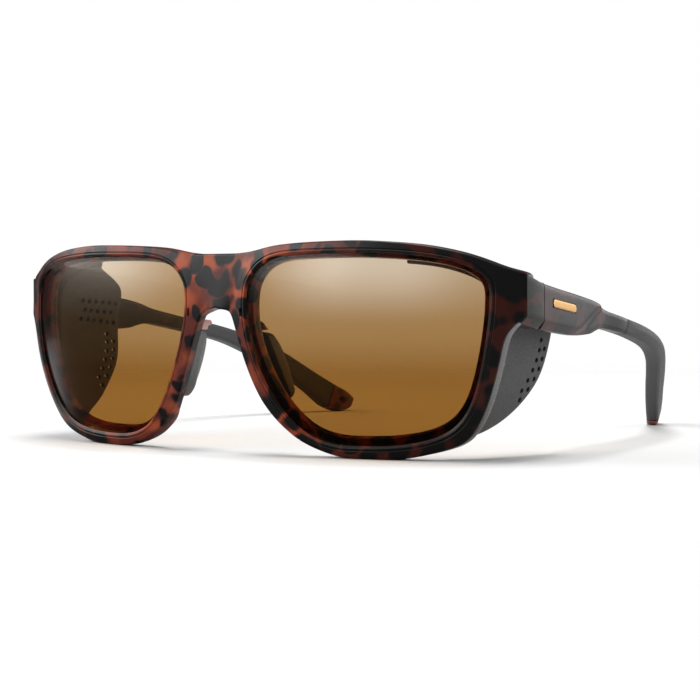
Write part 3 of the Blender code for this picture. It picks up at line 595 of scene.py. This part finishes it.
def lens_glass(name, tint, lower_glare_tint, glare_tint, shadow_tint):
    """Clear tinted glass, paler towards the top as painted reflection of the light above; light
    from lamps passes through tinted.
    """
    look = Look(name, Transmission_Weight=1.0, IOR=1.08, Specular_IOR_Level=0.0,
                Coat_Weight=0.25, Coat_IOR=1.6, Coat_Roughness=0.30)
    tone = look.noise(60.0, 1.0)
    shade = darker(tint, 0.94)
    spot = look.node("SeparateXYZ", {0: look.place}).outputs
    height, off_middle = spot["Z"], look.math('ABSOLUTE', spot["X"])
    # painted reflection of the light above: lighter above the middle of the lens, palest at the top
    # near the middle of each lens
    glare_across = look.math('MULTIPLY', look.span(off_middle, *GLARE_IN_X, 0.10, 1.0),
                        look.span(off_middle, *GLARE_OUT_X, 1.0, 0.35))
    pale = look.math('MULTIPLY', look.span(height, *GLARE_Z), glare_across)
    colour = look.blend(tone, tint, shade)
    colour = look.blend(look.span(height, *LOWER_GLARE_Z), colour, lower_glare_tint)
    colour = look.blend(pale, colour, glare_tint)
    look.drive("Base Color", colour)
    look.drive("Roughness", look.span(tone, 0.3, 0.7, 0.0, 0.012))
    look.see_through(look.node("LightPath").outputs["Is Shadow Ray"], Color=shadow_tint)
    return look.material


# the front's looks carry painted shade towards the ends of the front
TORTOISE = tortoise("tortoise_nylon", (0.0070, 0.0062, 0.0066, 1), (0.105, 0.017, 0.010, 1),
                    (0.34, 0.062, 0.018, 1), 0.40, shade_patches=0.12, dim=0.85)
TORTOISE_WALL = tortoise("tortoise_wall", (0.0090, 0.0080, 0.0084, 1), (0.060, 0.016, 0.012, 1),
                         (0.12, 0.030, 0.020, 1), 0.28, lean=0.15, shade_patches=0.12, dim=0.85, gloss=1.0)
TORTOISE_SIDE = tortoise("tortoise_temple", (0.0085, 0.0070, 0.0074, 1), (0.045, 0.012, 0.010, 1),
                         (0.10, 0.028, 0.020, 1), 0.40, lean=0.17, scale=150.0, gloss=0.25)
TORTOISE_EDGE = tortoise("tortoise_inner", (0.012, 0.004, 0.002, 1), (0.20, 0.022, 0.004, 1),
                         (0.45, 0.11, 0.02, 1), 0.30, shade_patches=0.05, dim=0.3)
TORTOISE_TIP = tortoise("tortoise_tip", (0.010, 0.006, 0.005, 1), (0.14, 0.024, 0.013, 1),
                        (0.24, 0.055, 0.022, 1), 0.36)
PAD_ARM = tortoise("pad_arm_nylon", (0.20, 0.085, 0.065, 1), (0.42, 0.19, 0.15, 1),
                   (0.55, 0.27, 0.21, 1), 0.36)
GLASS = lens_glass("brown_lens", (0.270, 0.121, 0.0235, 1), (0.35, 0.20, 0.073, 1),
                   (0.63, 0.51, 0.375, 1), (0.75, 0.70, 0.62, 1))
RUBBER = rubber("black_rubber", (0.018, 0.018, 0.019, 1), (0.042, 0.041, 0.043, 1), 0.62,
                1500.0, 0.00003)
PAD_RUBBER = rubber("nose_pad_rubber", (0.009, 0.009, 0.009, 1), (0.016, 0.016, 0.016, 1), 0.42,
                    1200.0, 0.00001)
SHIELD_GREY = rubber("grey_shield", (0.030, 0.029, 0.030, 1), (0.086, 0.083, 0.085, 1), 0.72,
                     1700.0, 0.00004)
VENT_DARK = rubber("vent_shadow", (0.003, 0.003, 0.003, 1), (0.006, 0.006, 0.006, 1), 0.9,
                   1700.0, 0.00001)
STEEL = metal("hinge_steel", (0.36, 0.36, 0.37, 1), (0.58, 0.58, 0.59, 1), 0.34,
              (900.0, 5000.0, 5000.0))
GOLD = metal("gold_bar", (0.50, 0.28, 0.095, 1), (0.62, 0.37, 0.145, 1), 0.38,
             (3000.0, 500.0, 5000.0))


# ---------------- front
INNER_SIDE, OUTER_WALL = 1, 2  # materials of the front shell after the first
MIDDLE_REACH, MIDDLE_WELD = 0.01, 0.001  # mm


def rim_lines():
    """Smoothed opening and outline of the left half, with the other rim values."""
    places = np.arange(len(RIM) * PER_ROW) / PER_ROW
    rows = curve(RIM, places, closed=True)
    opening = soften(rows[:, :2], OPENING_SOFT)
    last = TOP_MIDDLE_ROW * PER_ROW
    half = rows[: last + 1, 2:4]
    whole = np.vstack([half, half[-2:0:-1] * (-1, 1)])
    whole = soften(whole, OUTLINE_SOFT)
    outline = rows[:, 2:4].copy()
    outline[: last + 1] = whole[: last + 1]
    outline[0, 0] = outline[last, 0] = 0.0
    normals = np.zeros_like(outline)
    normals[: last + 1] = outward_normals(whole)[: last + 1]
    normals[0], normals[last] = (0.0, -1.0), (0.0, 1.0)
    return rows, opening, outward_normals(opening), outline, normals, last


def half_front():
    """Both halves of the front, welded at the mid-plane: rings of points from the bead out,
    over the front face, the outer wall and the back face to the lens groove."""
    rows, hole, hole_out, outline, out, last = rim_lines()
    lip, recess = rows[:, 4:5], rows[:, 5:6]
    stations = len(rows)
    share = (np.arange(stations) - last) / (stations - last)
    middle = np.arange(stations) > last

    def opening(offset, depth):
        return sunk(hole + hole_out * offset, depth)

    def rim_point(inset, y):
        flat = outline - out * inset
        return np.stack([flat[:, 0], np.broadcast_to(y, (stations,)), flat[:, 1]], 1)

    # where the front face ends: an inset outline, or the mid-plane at the bridge
    end = outline - out * EDGE
    end[middle, 0] = 0.0
    low, high = BRIDGE_BOTTOM + EDGE, BRIDGE_TOP - EDGE
    end[middle, 1] = high + (low - high) * share[middle]
    start = hole + hole_out * BEAD_WIDTH

    # share of the way across the face at which the crease of the bridge is met
    gap_start, gap_end = start[:, 0] - crease_x(start[:, 1]), end[:, 0] - crease_x(end[:, 1])
    reach = gap_start / np.where(np.abs(gap_start - gap_end) < 1e-6, 1e-6, gap_start - gap_end)
    beyond = 0.97 - 0.47 * np.clip(reach - 1, 0, 1)
    turn = np.where(reach < 0, 0.5, np.where(reach > 1, beyond, np.minimum(reach, 0.97)))[:, None]
    corner = start + (end - start) * turn

    def on_front(flat):
        return np.stack([flat[:, 0], front_y(flat[:, 0], flat[:, 1]), flat[:, 1]], 1)

    steps = np.linspace(0, 1, 11)
    front = [on_front(start + (corner - start) * f) for f in steps]
    front += [on_front(corner + (end - corner) * f) for f in steps[1:]]

    level = front_y(outline[:, 0], outline[:, 1])
    inner = opening(0.1, RIM_DEPTH)
    back = np.maximum(inner[:, 1] + 0.4, level + OUTER_MIN_DEPTH)
    back[middle] = np.linspace(back[last], back[0], stations - last + 1)[1:-1]
    wall = [p for p in bezier(front[-1], rim_point(0, level), rim_point(0, level + EDGE), 7)[1:]]
    wall.append(rim_point(0, (level + EDGE + back) / 2 - 0.4))
    r = BACK_ROUND
    plain = bezier(rim_point(0, back - r), rim_point(0, back), rim_point(r, back), 6)
    ledge = level + PAD_WALL                # the step that the nose pad is let into
    stepped = [rim_point(0, ledge - 0.1), rim_point(0.1, ledge),
               rim_point(PAD_RECESS - 0.15, ledge), rim_point(PAD_RECESS, ledge + 0.2),
               rim_point(PAD_RECESS + 0.1, (ledge + back) / 2),
               rim_point(PAD_RECESS + PAD_DRAFT, back)]
    wall += [a * (1 - recess) + b * recess for a, b in zip(plain, stepped)]

    # back face, from the outer wall to the inner back corner
    flat = outline - out * (r * (1 - recess) + (PAD_RECESS + PAD_DRAFT) * recess)
    high, low = BRIDGE_TOP - r, BRIDGE_BOTTOM + r
    flat[middle, 0] = 0.0
    flat[middle, 1] = high + (low - high) * share[middle]
    outer_back = np.stack([flat[:, 0], back, flat[:, 1]], 1)
    wall[-1] = outer_back
    turn_in = opening(0.6, RIM_DEPTH)
    behind = [outer_back + (turn_in - outer_back) * f for f in np.linspace(0, 1, 7)[1:]]
    behind += bezier(turn_in, opening(0.0, RIM_DEPTH), opening(-lip * 0.5, RIM_DEPTH - 0.5), 4)[1:]

    inner_wall = [opening(-lip * 0.5 - (lip * 0.5 - 0.2) * f, RIM_DEPTH - 0.5
                          + (GROOVE_BACK - RIM_DEPTH + 0.5) * f) for f in (0.33, 0.66, 1.0)]
    groove = [opening(GROOVE_BITE, GROOVE_BACK), opening(GROOVE_BITE, GROOVE_FRONT),
              opening(-FRONT_LIP, GROOVE_FRONT)]
    bevel = [opening(offset, depth) for offset, depth in BEAD]

    rings = np.stack(front + wall + behind + inner_wall + groove + bevel, 1)
    # places in a ring where the face ends, and where each side starts or ends
    front_end = len(front) - 1
    wall_start = front_end + 4
    back_start = len(front) + len(wall) - 1
    inner_start = len(front) + len(wall) + 6
    inner_end = len(front) + len(wall) + len(behind) + len(inner_wall) + 1
    glossy = (outline[:, 0] > GLOSSY_X) & (outline[:, 1] < GLOSSY_Z)
    bm = bmesh.new()
    for side in (1, -1):
        verts = {}

        def vert(i, k):
            i %= stations
            if (i, k) not in verts:
                x, y, z = rings[i, k]
                verts[i, k] = bm.verts.new((x * side, y, z))
            return verts[i, k]

        size = rings.shape[1]
        for i in range(stations):
            for k in range(size):
                if i >= last and front_end <= k < back_start:
                    continue
                m = (k + 1) % size
                quad = [vert(i, k), vert(i, m), vert(i + 1, m), vert(i + 1, k)]
                if side < 0:
                    quad.reverse()
                face = bm.faces.new(quad)
                if inner_start <= k < inner_end:
                    face.material_index = INNER_SIDE
                elif glossy[i] and wall_start <= k < back_start:
                    face.material_index = OUTER_WALL
    middle_verts = [v for v in bm.verts if abs(v.co.x) < MIDDLE_REACH]
    for v in middle_verts:
        v.co.x = 0.0
    bmesh.ops.remove_doubles(bm, verts=middle_verts, dist=MIDDLE_WELD)
    return bm


def end_piece():
    """Block from the front corner back to the hinge seam."""
    rings = []
    for s in np.linspace(0, 1, 15):
        ease = s * s * (3 - 2 * s)
        outer = CORNER[0] + END_BULGE * (1 - (1 - s) ** 1.6)
        top, inner_top = (high + fall * ease for high, fall in (END_TOP, END_INNER_TOP))
        bottom, chamfer, bevel = (first + change * s
                                  for first, change in (END_BOTTOM, END_CHAMFER, END_BEVEL))
        outline = [(outer, top), (outer, chamfer), (outer - bevel, bottom),
                   (END_INNER, bottom), (END_INNER, inner_top)]
        corners = []
        for x, z in outline:
            front = sphere_y(x, z) + 0.2 if x < CORNER[0] - 0.3 else CORNER[1]
            corners.append(np.array((x, front + (SEAM_Y - front) * s, z)))
        rings.append(rounded(corners, (0.35, 0.3, 0.35, 0.4, 0.4), 4, (8, 2, 3, 8, 4)))
    return skin(rings)


def knuckle_cutter():
    return cylinder((HINGE_X, HINGE_Y, HINGE_MIDDLE), (0, 0, 1), KNUCKLE_BORE,
                    HINGE_HIGH - HINGE_LOW + 0.8, 32)


def hinge_cutters_front():
    """Room for the knuckles, the leaf and its screw in the end block."""
    (x, y), (x_end, y_end) = FRONT_LEAF
    return [
        knuckle_cutter(),
        box((x, y, HINGE_LOW - 0.3), (x_end + LEAF_THICK + LEAF_ROOM, y_end, HINGE_HIGH + 0.3)),
        cylinder((*FRONT_SCREW, HINGE_MIDDLE), (1, 0, 0), SCREW_BORE, 3.2, 16),
    ]


def pad_stub(radius, length):
    """Round stub of a nose pad arm, or the bore in the rim that takes it."""
    x, z = PAD_PIVOT
    seat = float(sphere_y(x, z, PAD_BACK_OF_RIM))
    return cylinder((x, seat - 0.6, z), (0, 1, 0), radius, length, 16)


def build_front():
    obj = make_object("front_shell", half_front(), 1, [TORTOISE, TORTOISE_EDGE, TORTOISE_WALL],
                      SMOOTH)
    for side, _ in SIDES:
        x, z = SLOT
        floor = float(sphere_y(x, z)) + SLOT_DEPTH
        slot = box((x + SLOT_X[0], -2.0, z - SLOT_HALF), (x + SLOT_X[1], floor, z + SLOT_HALF))
        cutters = hinge_cutters_front() + [pad_stub(0.9, 4.2), slot]
        steps = [('UNION', end_piece())] + [('DIFFERENCE', shape) for shape in cutters]
        combine(obj, steps, side, SMOOTH)
    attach(obj, "front")
    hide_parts("front_frame")


def build_lens(side, label):
    """Two curved faces that meet at an edge let into the groove of the rim."""
    _, hole, hole_out, *_ = rim_lines()
    edge = hole + hole_out * LENS_BITE
    bm = bmesh.new()
    stations = len(edge)
    outer = []
    for depth in (LENS_FRONT, LENS_BACK):
        rings = []
        for share in np.linspace(1.0, 0.06, 22):
            flat = EYE + (edge - EYE) * share
            rings.append([bm.verts.new(p) for p in sunk(flat, depth)])
        centre = bm.verts.new(sunk(EYE[None, :], depth)[0])
        for a, b in zip(rings, rings[1:]):
            for i in range(stations):
                j = (i + 1) % stations
                bm.faces.new((a[i], a[j], b[j], b[i]))
        for i in range(stations):
            bm.faces.new((rings[-1][i], rings[-1][(i + 1) % stations], centre))
        outer.append(rings[0])
    for i in range(stations):
        j = (i + 1) % stations
        bm.faces.new((outer[0][i], outer[1][i], outer[1][j], outer[0][j]))
    obj = make_object(f"lens_shell_{label}", bm, side, [GLASS], SMOOTH_LENS)
    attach(obj, "front")
    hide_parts(f"lens_{label}")


# ---------------- temples
def smooth_step(value):
    value = np.clip(value, 0, 1)
    return value * value * (3 - 2 * value)


def crease_step(y, z):
    """How far the outer face is sunk behind the slanted crease."""
    low, high = np.array(CREASE_LOW), np.array(CREASE_HIGH)
    along = (high - low) / np.linalg.norm(high - low)
    distance = (y - low[0]) * along[1] - (z - low[1]) * along[0]
    return CREASE_DEPTH * smooth_step(distance / 2.8) * (1 - smooth_step((y - 60.0) / 11.0))


def temple_ring(row, inset=0.0, ridge=0.0):
    """Rounded section between the top and the bottom edge of the temple."""
    top_y, top_z, low_y, low_z, outer, thick, chamfer = row
    top, low = np.array((0.0, top_y, top_z)), np.array((0.0, low_y, low_z))
    up = (top - low) / np.linalg.norm(top - low)
    top, low = top - up * inset, low + up * inset
    outer, thick = outer - inset, thick - 2 * inset
    tall = np.linalg.norm(top - low)
    chamfer = min(chamfer, tall * 0.3)
    soft = min(1.0, thick * 0.3, tall * 0.3)

    def place(across, height):
        return low + up * height + np.array((outer - across, 0.0, 0.0))
    corners = [place(0, tall), place(0, chamfer), place(chamfer * 0.6, 0), place(thick, 0),
               place(thick, tall)]
    small = min(0.3, chamfer * 0.3)
    ring = rounded(corners, (soft, small, small, soft, soft), 5, (10, 2, 3, 6, 3))
    out = []
    for point in ring:
        x, y, z = point
        outside = (x - (outer - thick)) / thick
        height = np.dot(point - low - np.array((x, 0, 0)), up) / tall
        shift = 0.0 if inset > 0.5 else float(crease_step(y, z)) * smooth_step((outside - 0.5) * 2)
        crown = ridge * max(0.0, 1 - abs(height - 0.52) / 0.5) * smooth_step((outside - 0.5) * 2)
        out.append(np.array((x - shift + crown, y, z)))
    return out


def build_temple(side, label):
    """Shell with a thin neck under the rubber, then the rubber and the bar."""
    body = f"temple_{label}"
    rows = curve(TEMPLE, np.linspace(0, GRIP_FIRST, 110))
    front = [temple_ring(row) for row in rows]
    rows = curve(TEMPLE, np.linspace(GRIP_FIRST, GRIP_LAST, 60))
    neck = [temple_ring(row, NECK_INSET) for row in rows]
    last = len(TEMPLE) - 1
    places = np.concatenate([np.linspace(GRIP_LAST, 14.7, 22), np.linspace(14.74, last, 8)])
    tip = []
    for place, row in zip(places, curve(TEMPLE, places)):
        closing = max(0.0, (place - TIP_ROUND) / (last - TIP_ROUND))
        tip.append(temple_ring(row, inset=0.45 * closing ** 2))
    obj = make_object(f"temple_shell_{label}", skin(front + neck + tip), side,
                      [TORTOISE_SIDE, TORTOISE_TIP], SMOOTH)
    (x, y), (x_end, y_end) = TEMPLE_LEAF
    hole_y, hole_z, hole_r = LEASH_HOLE
    steps = [
        knuckle_cutter(),
        box((x, y, HINGE_MIDDLE - TEMPLE_LEAF_HALF),
            (x_end + LEAF_THICK + LEAF_ROOM, y_end, HINGE_MIDDLE + TEMPLE_LEAF_HALF)),
        cylinder((*TEMPLE_SCREW, HINGE_MIDDLE), (1, 0, 0), SCREW_BORE, 2.6, 16),
        bar_seat(),
        cylinder((LEASH_X, hole_y, hole_z), (1, 0, 0), hole_r, LEASH_REACH, 32),
    ]
    combine(obj, [('DIFFERENCE', shape) for shape in steps], side, SMOOTH)
    for polygon in obj.data.polygons:
        if polygon.center.y > (TIP_Y - DEPTH_MIDDLE) * MM:
            polygon.material_index = 1
    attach(obj, body)
    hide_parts(f"temple_{label}")
    build_grip(side, label, body)
    build_bar(side, label, body)


def build_grip(side, label, body):
    """Rubber sleeve, tucked in at both ends and crowned along its outer face."""
    places = np.linspace(GRIP_START, GRIP_END, 130)
    rows = curve(TEMPLE, places)
    rings = []
    for place, row in zip(places, rows):
        edge = min(place - GRIP_START, GRIP_END - place)
        tuck = GRIP_TUCK * (1 - smooth_step(edge / 0.05))
        crown = GRIP_CROWN * smooth_step(place - GRIP_START)
        crown *= 1 - smooth_step((place - 11.6) / 1.4)
        rings.append(temple_ring(row, inset=float(tuck), ridge=float(crown)))
    inside = [temple_ring(row, NECK_INSET - TOUCH_GAP) for row in rows]
    grip = make_object(f"grip_sleeve_{label}", skin(rings + inside[::-1], closed_rows=True), side,
                       [RUBBER], SMOOTH)
    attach(grip, body)
    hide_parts(f"temple_grip_{label}")


def bar_corners(low, high, y, z, half):
    return [np.array((x, y, z + rise))
            for x, rise in ((low, -half), (high, -half), (high, half), (low, half))]


def bar_seat():
    """Pocket for the bar, a little larger than it."""
    fall = BAR_LENGTH * BAR_SLOPE / 2
    half = BAR_HEIGHT / 2 + BAR_ROOM
    low, high = BAR_SEAT_X
    return skin([bar_corners(low, high, BAR_Y - BAR_LENGTH / 2 - BAR_ROOM, BAR_Z - fall, half),
                 bar_corners(low, high, BAR_Y + BAR_LENGTH / 2 + BAR_ROOM, BAR_Z + fall, half)])


def build_bar(side, label, body):
    """Plain bar with round ends."""
    rings = []
    for f in np.linspace(0, 1, 40):
        y = BAR_Y + BAR_LENGTH * (f - 0.5)
        z = BAR_Z + BAR_LENGTH * BAR_SLOPE * (f - 0.5)
        to_end = min(f, 1 - f) * BAR_LENGTH
        drop = 1 - math.sqrt(max(0.0, 1 - (1 - min(to_end / 0.9, 1)) ** 2))
        half = max(BAR_HEIGHT / 2 - (BAR_HEIGHT / 2) * drop, 0.12)
        corners = bar_corners(*BAR_X, y, z, half)
        rings.append(rounded(corners, (0.02, 0.1, 0.1, 0.02), 4, (1, 4, 1, 2)))
    bar = make_object(f"side_bar_{label}", skin(rings), side, [GOLD], SMOOTH_SMALL)
    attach(bar, body)
    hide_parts(f"temple_bar_{label}")


# ---------------- shields
def vents():
    """Cutters for the rows of vents and for the two bent columns below them."""
    places = []
    for y, z, count, pitch, drop in VENT_ROWS:
        places += [(y + pitch * k, z - drop * k) for k in range(count)]
    for y, z, count, pitch, bend in VENT_COLUMNS:
        places += [(y - bend * k * k, z - pitch * k) for k in range(count)]
    shapes = []
    for y, z in places:
        shape = cylinder((VENT_X, 0.0, z), (1, 0, 0), VENT_R, VENT_REACH, 20)
        for vert in shape.verts:
            vert.co.y = y + vert.co.y * VENT_STRETCH
        shapes.append(shape)
    holes = joined(shapes)
    for face in holes.faces:
        face.material_index = 1
    return holes


def build_shield(side, label):
    """Soft shell from the flange behind the rim back to its free edge."""
    places = np.linspace(0, len(SHIELD) - 1, 190)
    rows = soften_open(curve(SHIELD, places), SHIELD_SOFT)
    lean, r = SHIELD_LEAN, SHIELD_ROUND
    step = np.gradient(rows[:, :2], axis=0)
    inward = np.stack([step[:, 1], -step[:, 0]], 1)
    inward /= np.linalg.norm(inward, axis=1)[:, None]
    rings = []
    for (x, z, start, rear), (nx, nz) in zip(rows, inward):
        def place(depth, y):
            return np.array((x + nx * depth, y, z + nz * depth))
        outer = [place(0.5, start), place(0.12, start + 0.12), place(0.0, start + 0.5)]
        for f in np.linspace(0, 1, 30)[1:]:
            outer.append(place(lean * f, start + 0.5 + (rear - (0.5 + r) - start) * f))
        tip = bezier(place(lean, rear - r), place(lean, rear), place(lean + r, rear), 4)[1:]
        tip += bezier(place(SHIELD_WALL - r, rear), place(SHIELD_WALL, rear),
                      place(SHIELD_WALL, rear - r), 4)
        inner = []
        for f in np.linspace(0, 1, 24)[1:]:
            inner.append(place(SHIELD_WALL, rear - r + (start + 1.1 - rear + r) * f))
        foot = [place(SHIELD_FLANGE, start + 0.95), place(SHIELD_FLANGE + 0.3, start + 0.5),
                place(SHIELD_FLANGE, start)]
        rings.append(outer + tip + inner + foot)
    obj = make_object(f"shield_shell_{label}", skin(rings), side, [SHIELD_GREY, VENT_DARK], SMOOTH)
    combine(obj, [('DIFFERENCE', vents())], side, SMOOTH)
    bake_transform(obj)
    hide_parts(f"shield_panel_{label}", f"shield_clip_{label}")


# ---------------- nose pads
def pad_ring(row, soft):
    """Section of a pad or arm, let into the step of the rim."""
    z, rim_x, ridge_x, rear_x, rear_y, width = row
    seat = float(sphere_y(rim_x + 2.0, z, PAD_BACK_OF_RIM))
    wall = float(front_y(np.array(rim_x), np.array(z))) + PAD_WALL + PAD_CLEAR
    side_x = rim_x + PAD_RECESS - PAD_CLEAR
    corners = [np.array(p) for p in (
        (rim_x, wall, z), (ridge_x, seat + 0.6, z), (rear_x, rear_y, z),
        (rear_x + width, rear_y - 0.4, z), (rear_x + width - 0.2, seat, z),
        (side_x, seat, z), (side_x, wall, z))]
    return rounded(corners, (0.25, soft, soft, soft, 0.2, 0.15, 0.2), 4, (5, 5, 3, 4, 3, 3, 2))


def closed_rings(rows, soft, top_round, low_round):
    """Rings down a run of rows, whose two ends round in over a height each."""
    high, low = rows[0][0], rows[-1][0]
    rings = []
    for row in rows:
        ring = np.array(pad_ring(row, soft))
        reach = min((high - row[0]) / top_round, (row[0] - low) / low_round, 1.0)
        shrink = END_SHARE + (1 - END_SHARE) * math.sqrt(max(0.0, 1 - (1 - reach) ** 2))
        seat = ring[np.argmin(ring[:, 0])] * 0.4 + ring.mean(0) * 0.6
        rings.append(seat + (ring - seat) * (shrink, shrink, 1))
    return rings


def build_nose_pad(side, label):
    body = f"nose_pad_{label}"
    last = len(PAD) - 1
    places = np.concatenate([np.linspace(0, 0.3, 14), np.linspace(0.35, 3.0, 44),
                             np.linspace(3.06, last, 26)])
    rows = curve(PAD, places)
    pad = make_object(f"pad_{label}", skin(closed_rings(rows, 0.7, 0.8, 2.6)), side,
                      [PAD_RUBBER], SMOOTH_SMALL)
    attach(pad, body)
    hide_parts(f"nose_pad_{label}")

    rows = curve(ARM, np.linspace(0, 1, 24))
    arm = make_object(f"pad_arm_{label}", skin(closed_rings(rows, 0.5, 0.8, 0.3)), side,
                      [PAD_ARM], SMOOTH_SMALL)
    combine(arm, [('UNION', pad_stub(0.6, 3.6))], side, SMOOTH_SMALL)
    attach(arm, body)
    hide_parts(f"nose_pad_arm_{label}")


build_front()
for side, label in SIDES:
    build_lens(side, label)
    build_temple(side, label)
    build_shield(side, label)
    build_nose_pad(side, label)

# the hinge metal stays as it is in the CAD, with its edges broken
for node in frame["nodes"].values():
    if node.hide_render:
        continue
    node.data.materials.clear()
    node.data.materials.append(STEEL)
    node.data.shade_smooth()
    node.data.set_sharp_from_angle(angle=math.radians(STEEL_SMOOTH))
    bevel = node.modifiers.new("edges", 'BEVEL')
    bevel.width = STEEL_BEVEL
    bevel.segments = 2
    bevel.limit_method = 'ANGLE'
    bevel.angle_limit = math.radians(STEEL_SMOOTH)


# ---------------- studio
FLOOR_TONE = 0.68
FLOOR_CLEAR = (0.16, 0.50)  # metres from the middle between which the floor thins out
MIRROR_Y = (-0.065, -0.040)
AMBIENT, AMBIENT_GLOSS = 0.25, 0.06
CAMERA_AT = (231.26, -316.65, 36.63)
CAMERA_TURN = (31.646, 1.83)  # azimuth and elevation in degrees
CAMERA_LENS = 86.57


def stage_floor():
    """Pale floor that thins out into the white surroundings."""
    bpy.ops.mesh.primitive_circle_add(vertices=96, radius=1.5, fill_type='NGON', location=(0, 0, 0))
    floor = bpy.context.object
    floor.name = "floor"
    look = Look("floor_white", Roughness=0.9, Specular_IOR_Level=0.1)
    tone = look.noise(3.0, 2.0)
    pale = look.blend(tone, (FLOOR_TONE,) * 3 + (1,), (FLOOR_TONE + 0.01,) * 3 + (1,))
    path = look.node("LightPath")
    # mirror-like reflections see only the floor beside and behind the glasses
    ahead = look.node("SeparateXYZ", {0: look.place}).outputs["Y"]
    mirrored = look.math('SUBTRACT', path.outputs["Is Glossy Ray"],
                         path.outputs["Is Transmission Ray"], clamp=True)
    hidden = look.math('MULTIPLY', mirrored, look.span(ahead, *MIRROR_Y, 1.0, 0.0))
    look.drive("Base Color", look.blend(hidden, pale, (0.05, 0.05, 0.05, 1)))
    far = look.node("VectorMath", {0: look.place}, operation='LENGTH').outputs["Value"]
    look.see_through(look.span(far, *FLOOR_CLEAR))
    floor.data.materials.append(look.material)


def lamp(name, location, target, size, energy):
    data = bpy.data.lights.new(name, 'AREA')
    data.shape = 'RECTANGLE'
    data.size, data.size_y = size
    data.energy = energy
    obj = bpy.data.objects.new(name, data)
    obj.location = location
    obj.rotation_mode = 'QUATERNION'
    obj.rotation_quaternion = (Vector(target) - Vector(location)).to_track_quat('-Z', 'Y')
    bpy.context.scene.collection.objects.link(obj)


def world():
    """White surroundings for the camera and through the lenses, dim for everything else."""
    made = bpy.data.worlds.new("studio")
    made.use_nodes = True
    tree = made.node_tree
    nodes = tree.nodes
    background = nodes["Background"]
    background.inputs["Color"].default_value = (1, 1, 1, 1)
    path = nodes.new("ShaderNodeLightPath")

    def step(operation, first, other):
        made_node = nodes.new("ShaderNodeMath")
        made_node.operation = operation
        for socket, value in zip(made_node.inputs, (first, other)):
            if isinstance(value, float):
                socket.default_value = value
            else:
                tree.links.new(value, socket)
        return made_node.outputs[0]
    seen = step('MAXIMUM', path.outputs["Is Camera Ray"], path.outputs["Is Transmission Ray"])
    gloss = step('MULTIPLY', path.outputs["Is Glossy Ray"], AMBIENT_GLOSS - AMBIENT)
    strength = step('MAXIMUM', seen, step('ADD', gloss, AMBIENT))
    tree.links.new(strength, background.inputs["Strength"])
    bpy.context.scene.world = made


def camera():
    azimuth, elevation = (math.radians(angle) for angle in CAMERA_TURN)
    level = math.cos(elevation)
    back = Vector((math.sin(azimuth) * level, -math.cos(azimuth) * level, math.sin(elevation)))
    data = bpy.data.cameras.new("camera")
    data.lens = CAMERA_LENS
    data.sensor_width = 36.0
    data.clip_start = 0.01
    obj = bpy.data.objects.new("camera", data)
    x, y, z = CAMERA_AT
    obj.location = Vector((x, y - DEPTH_MIDDLE, z)) * MM
    obj.rotation_mode = 'QUATERNION'
    obj.rotation_quaternion = (-back).to_track_quat('-Z', 'Y')
    bpy.context.scene.collection.objects.link(obj)
    bpy.context.scene.camera = obj


stage_floor()
lamp("overhead", (0.0, 0.0, 1.1), (0, 0, 0), (0.5, 0.5), 11.0)
lamp("front_left", (-0.68, -0.57, 0.48), (0, -0.03, 0.03), (1.5, 0.55), 12.5)
lamp("side_back", (0.48, 0.76, 0.27), (0.06, 0, 0.03), (0.9, 0.5), 4.2)
world()
camera()
bpy.context.scene.view_settings.view_transform = 'Standard'
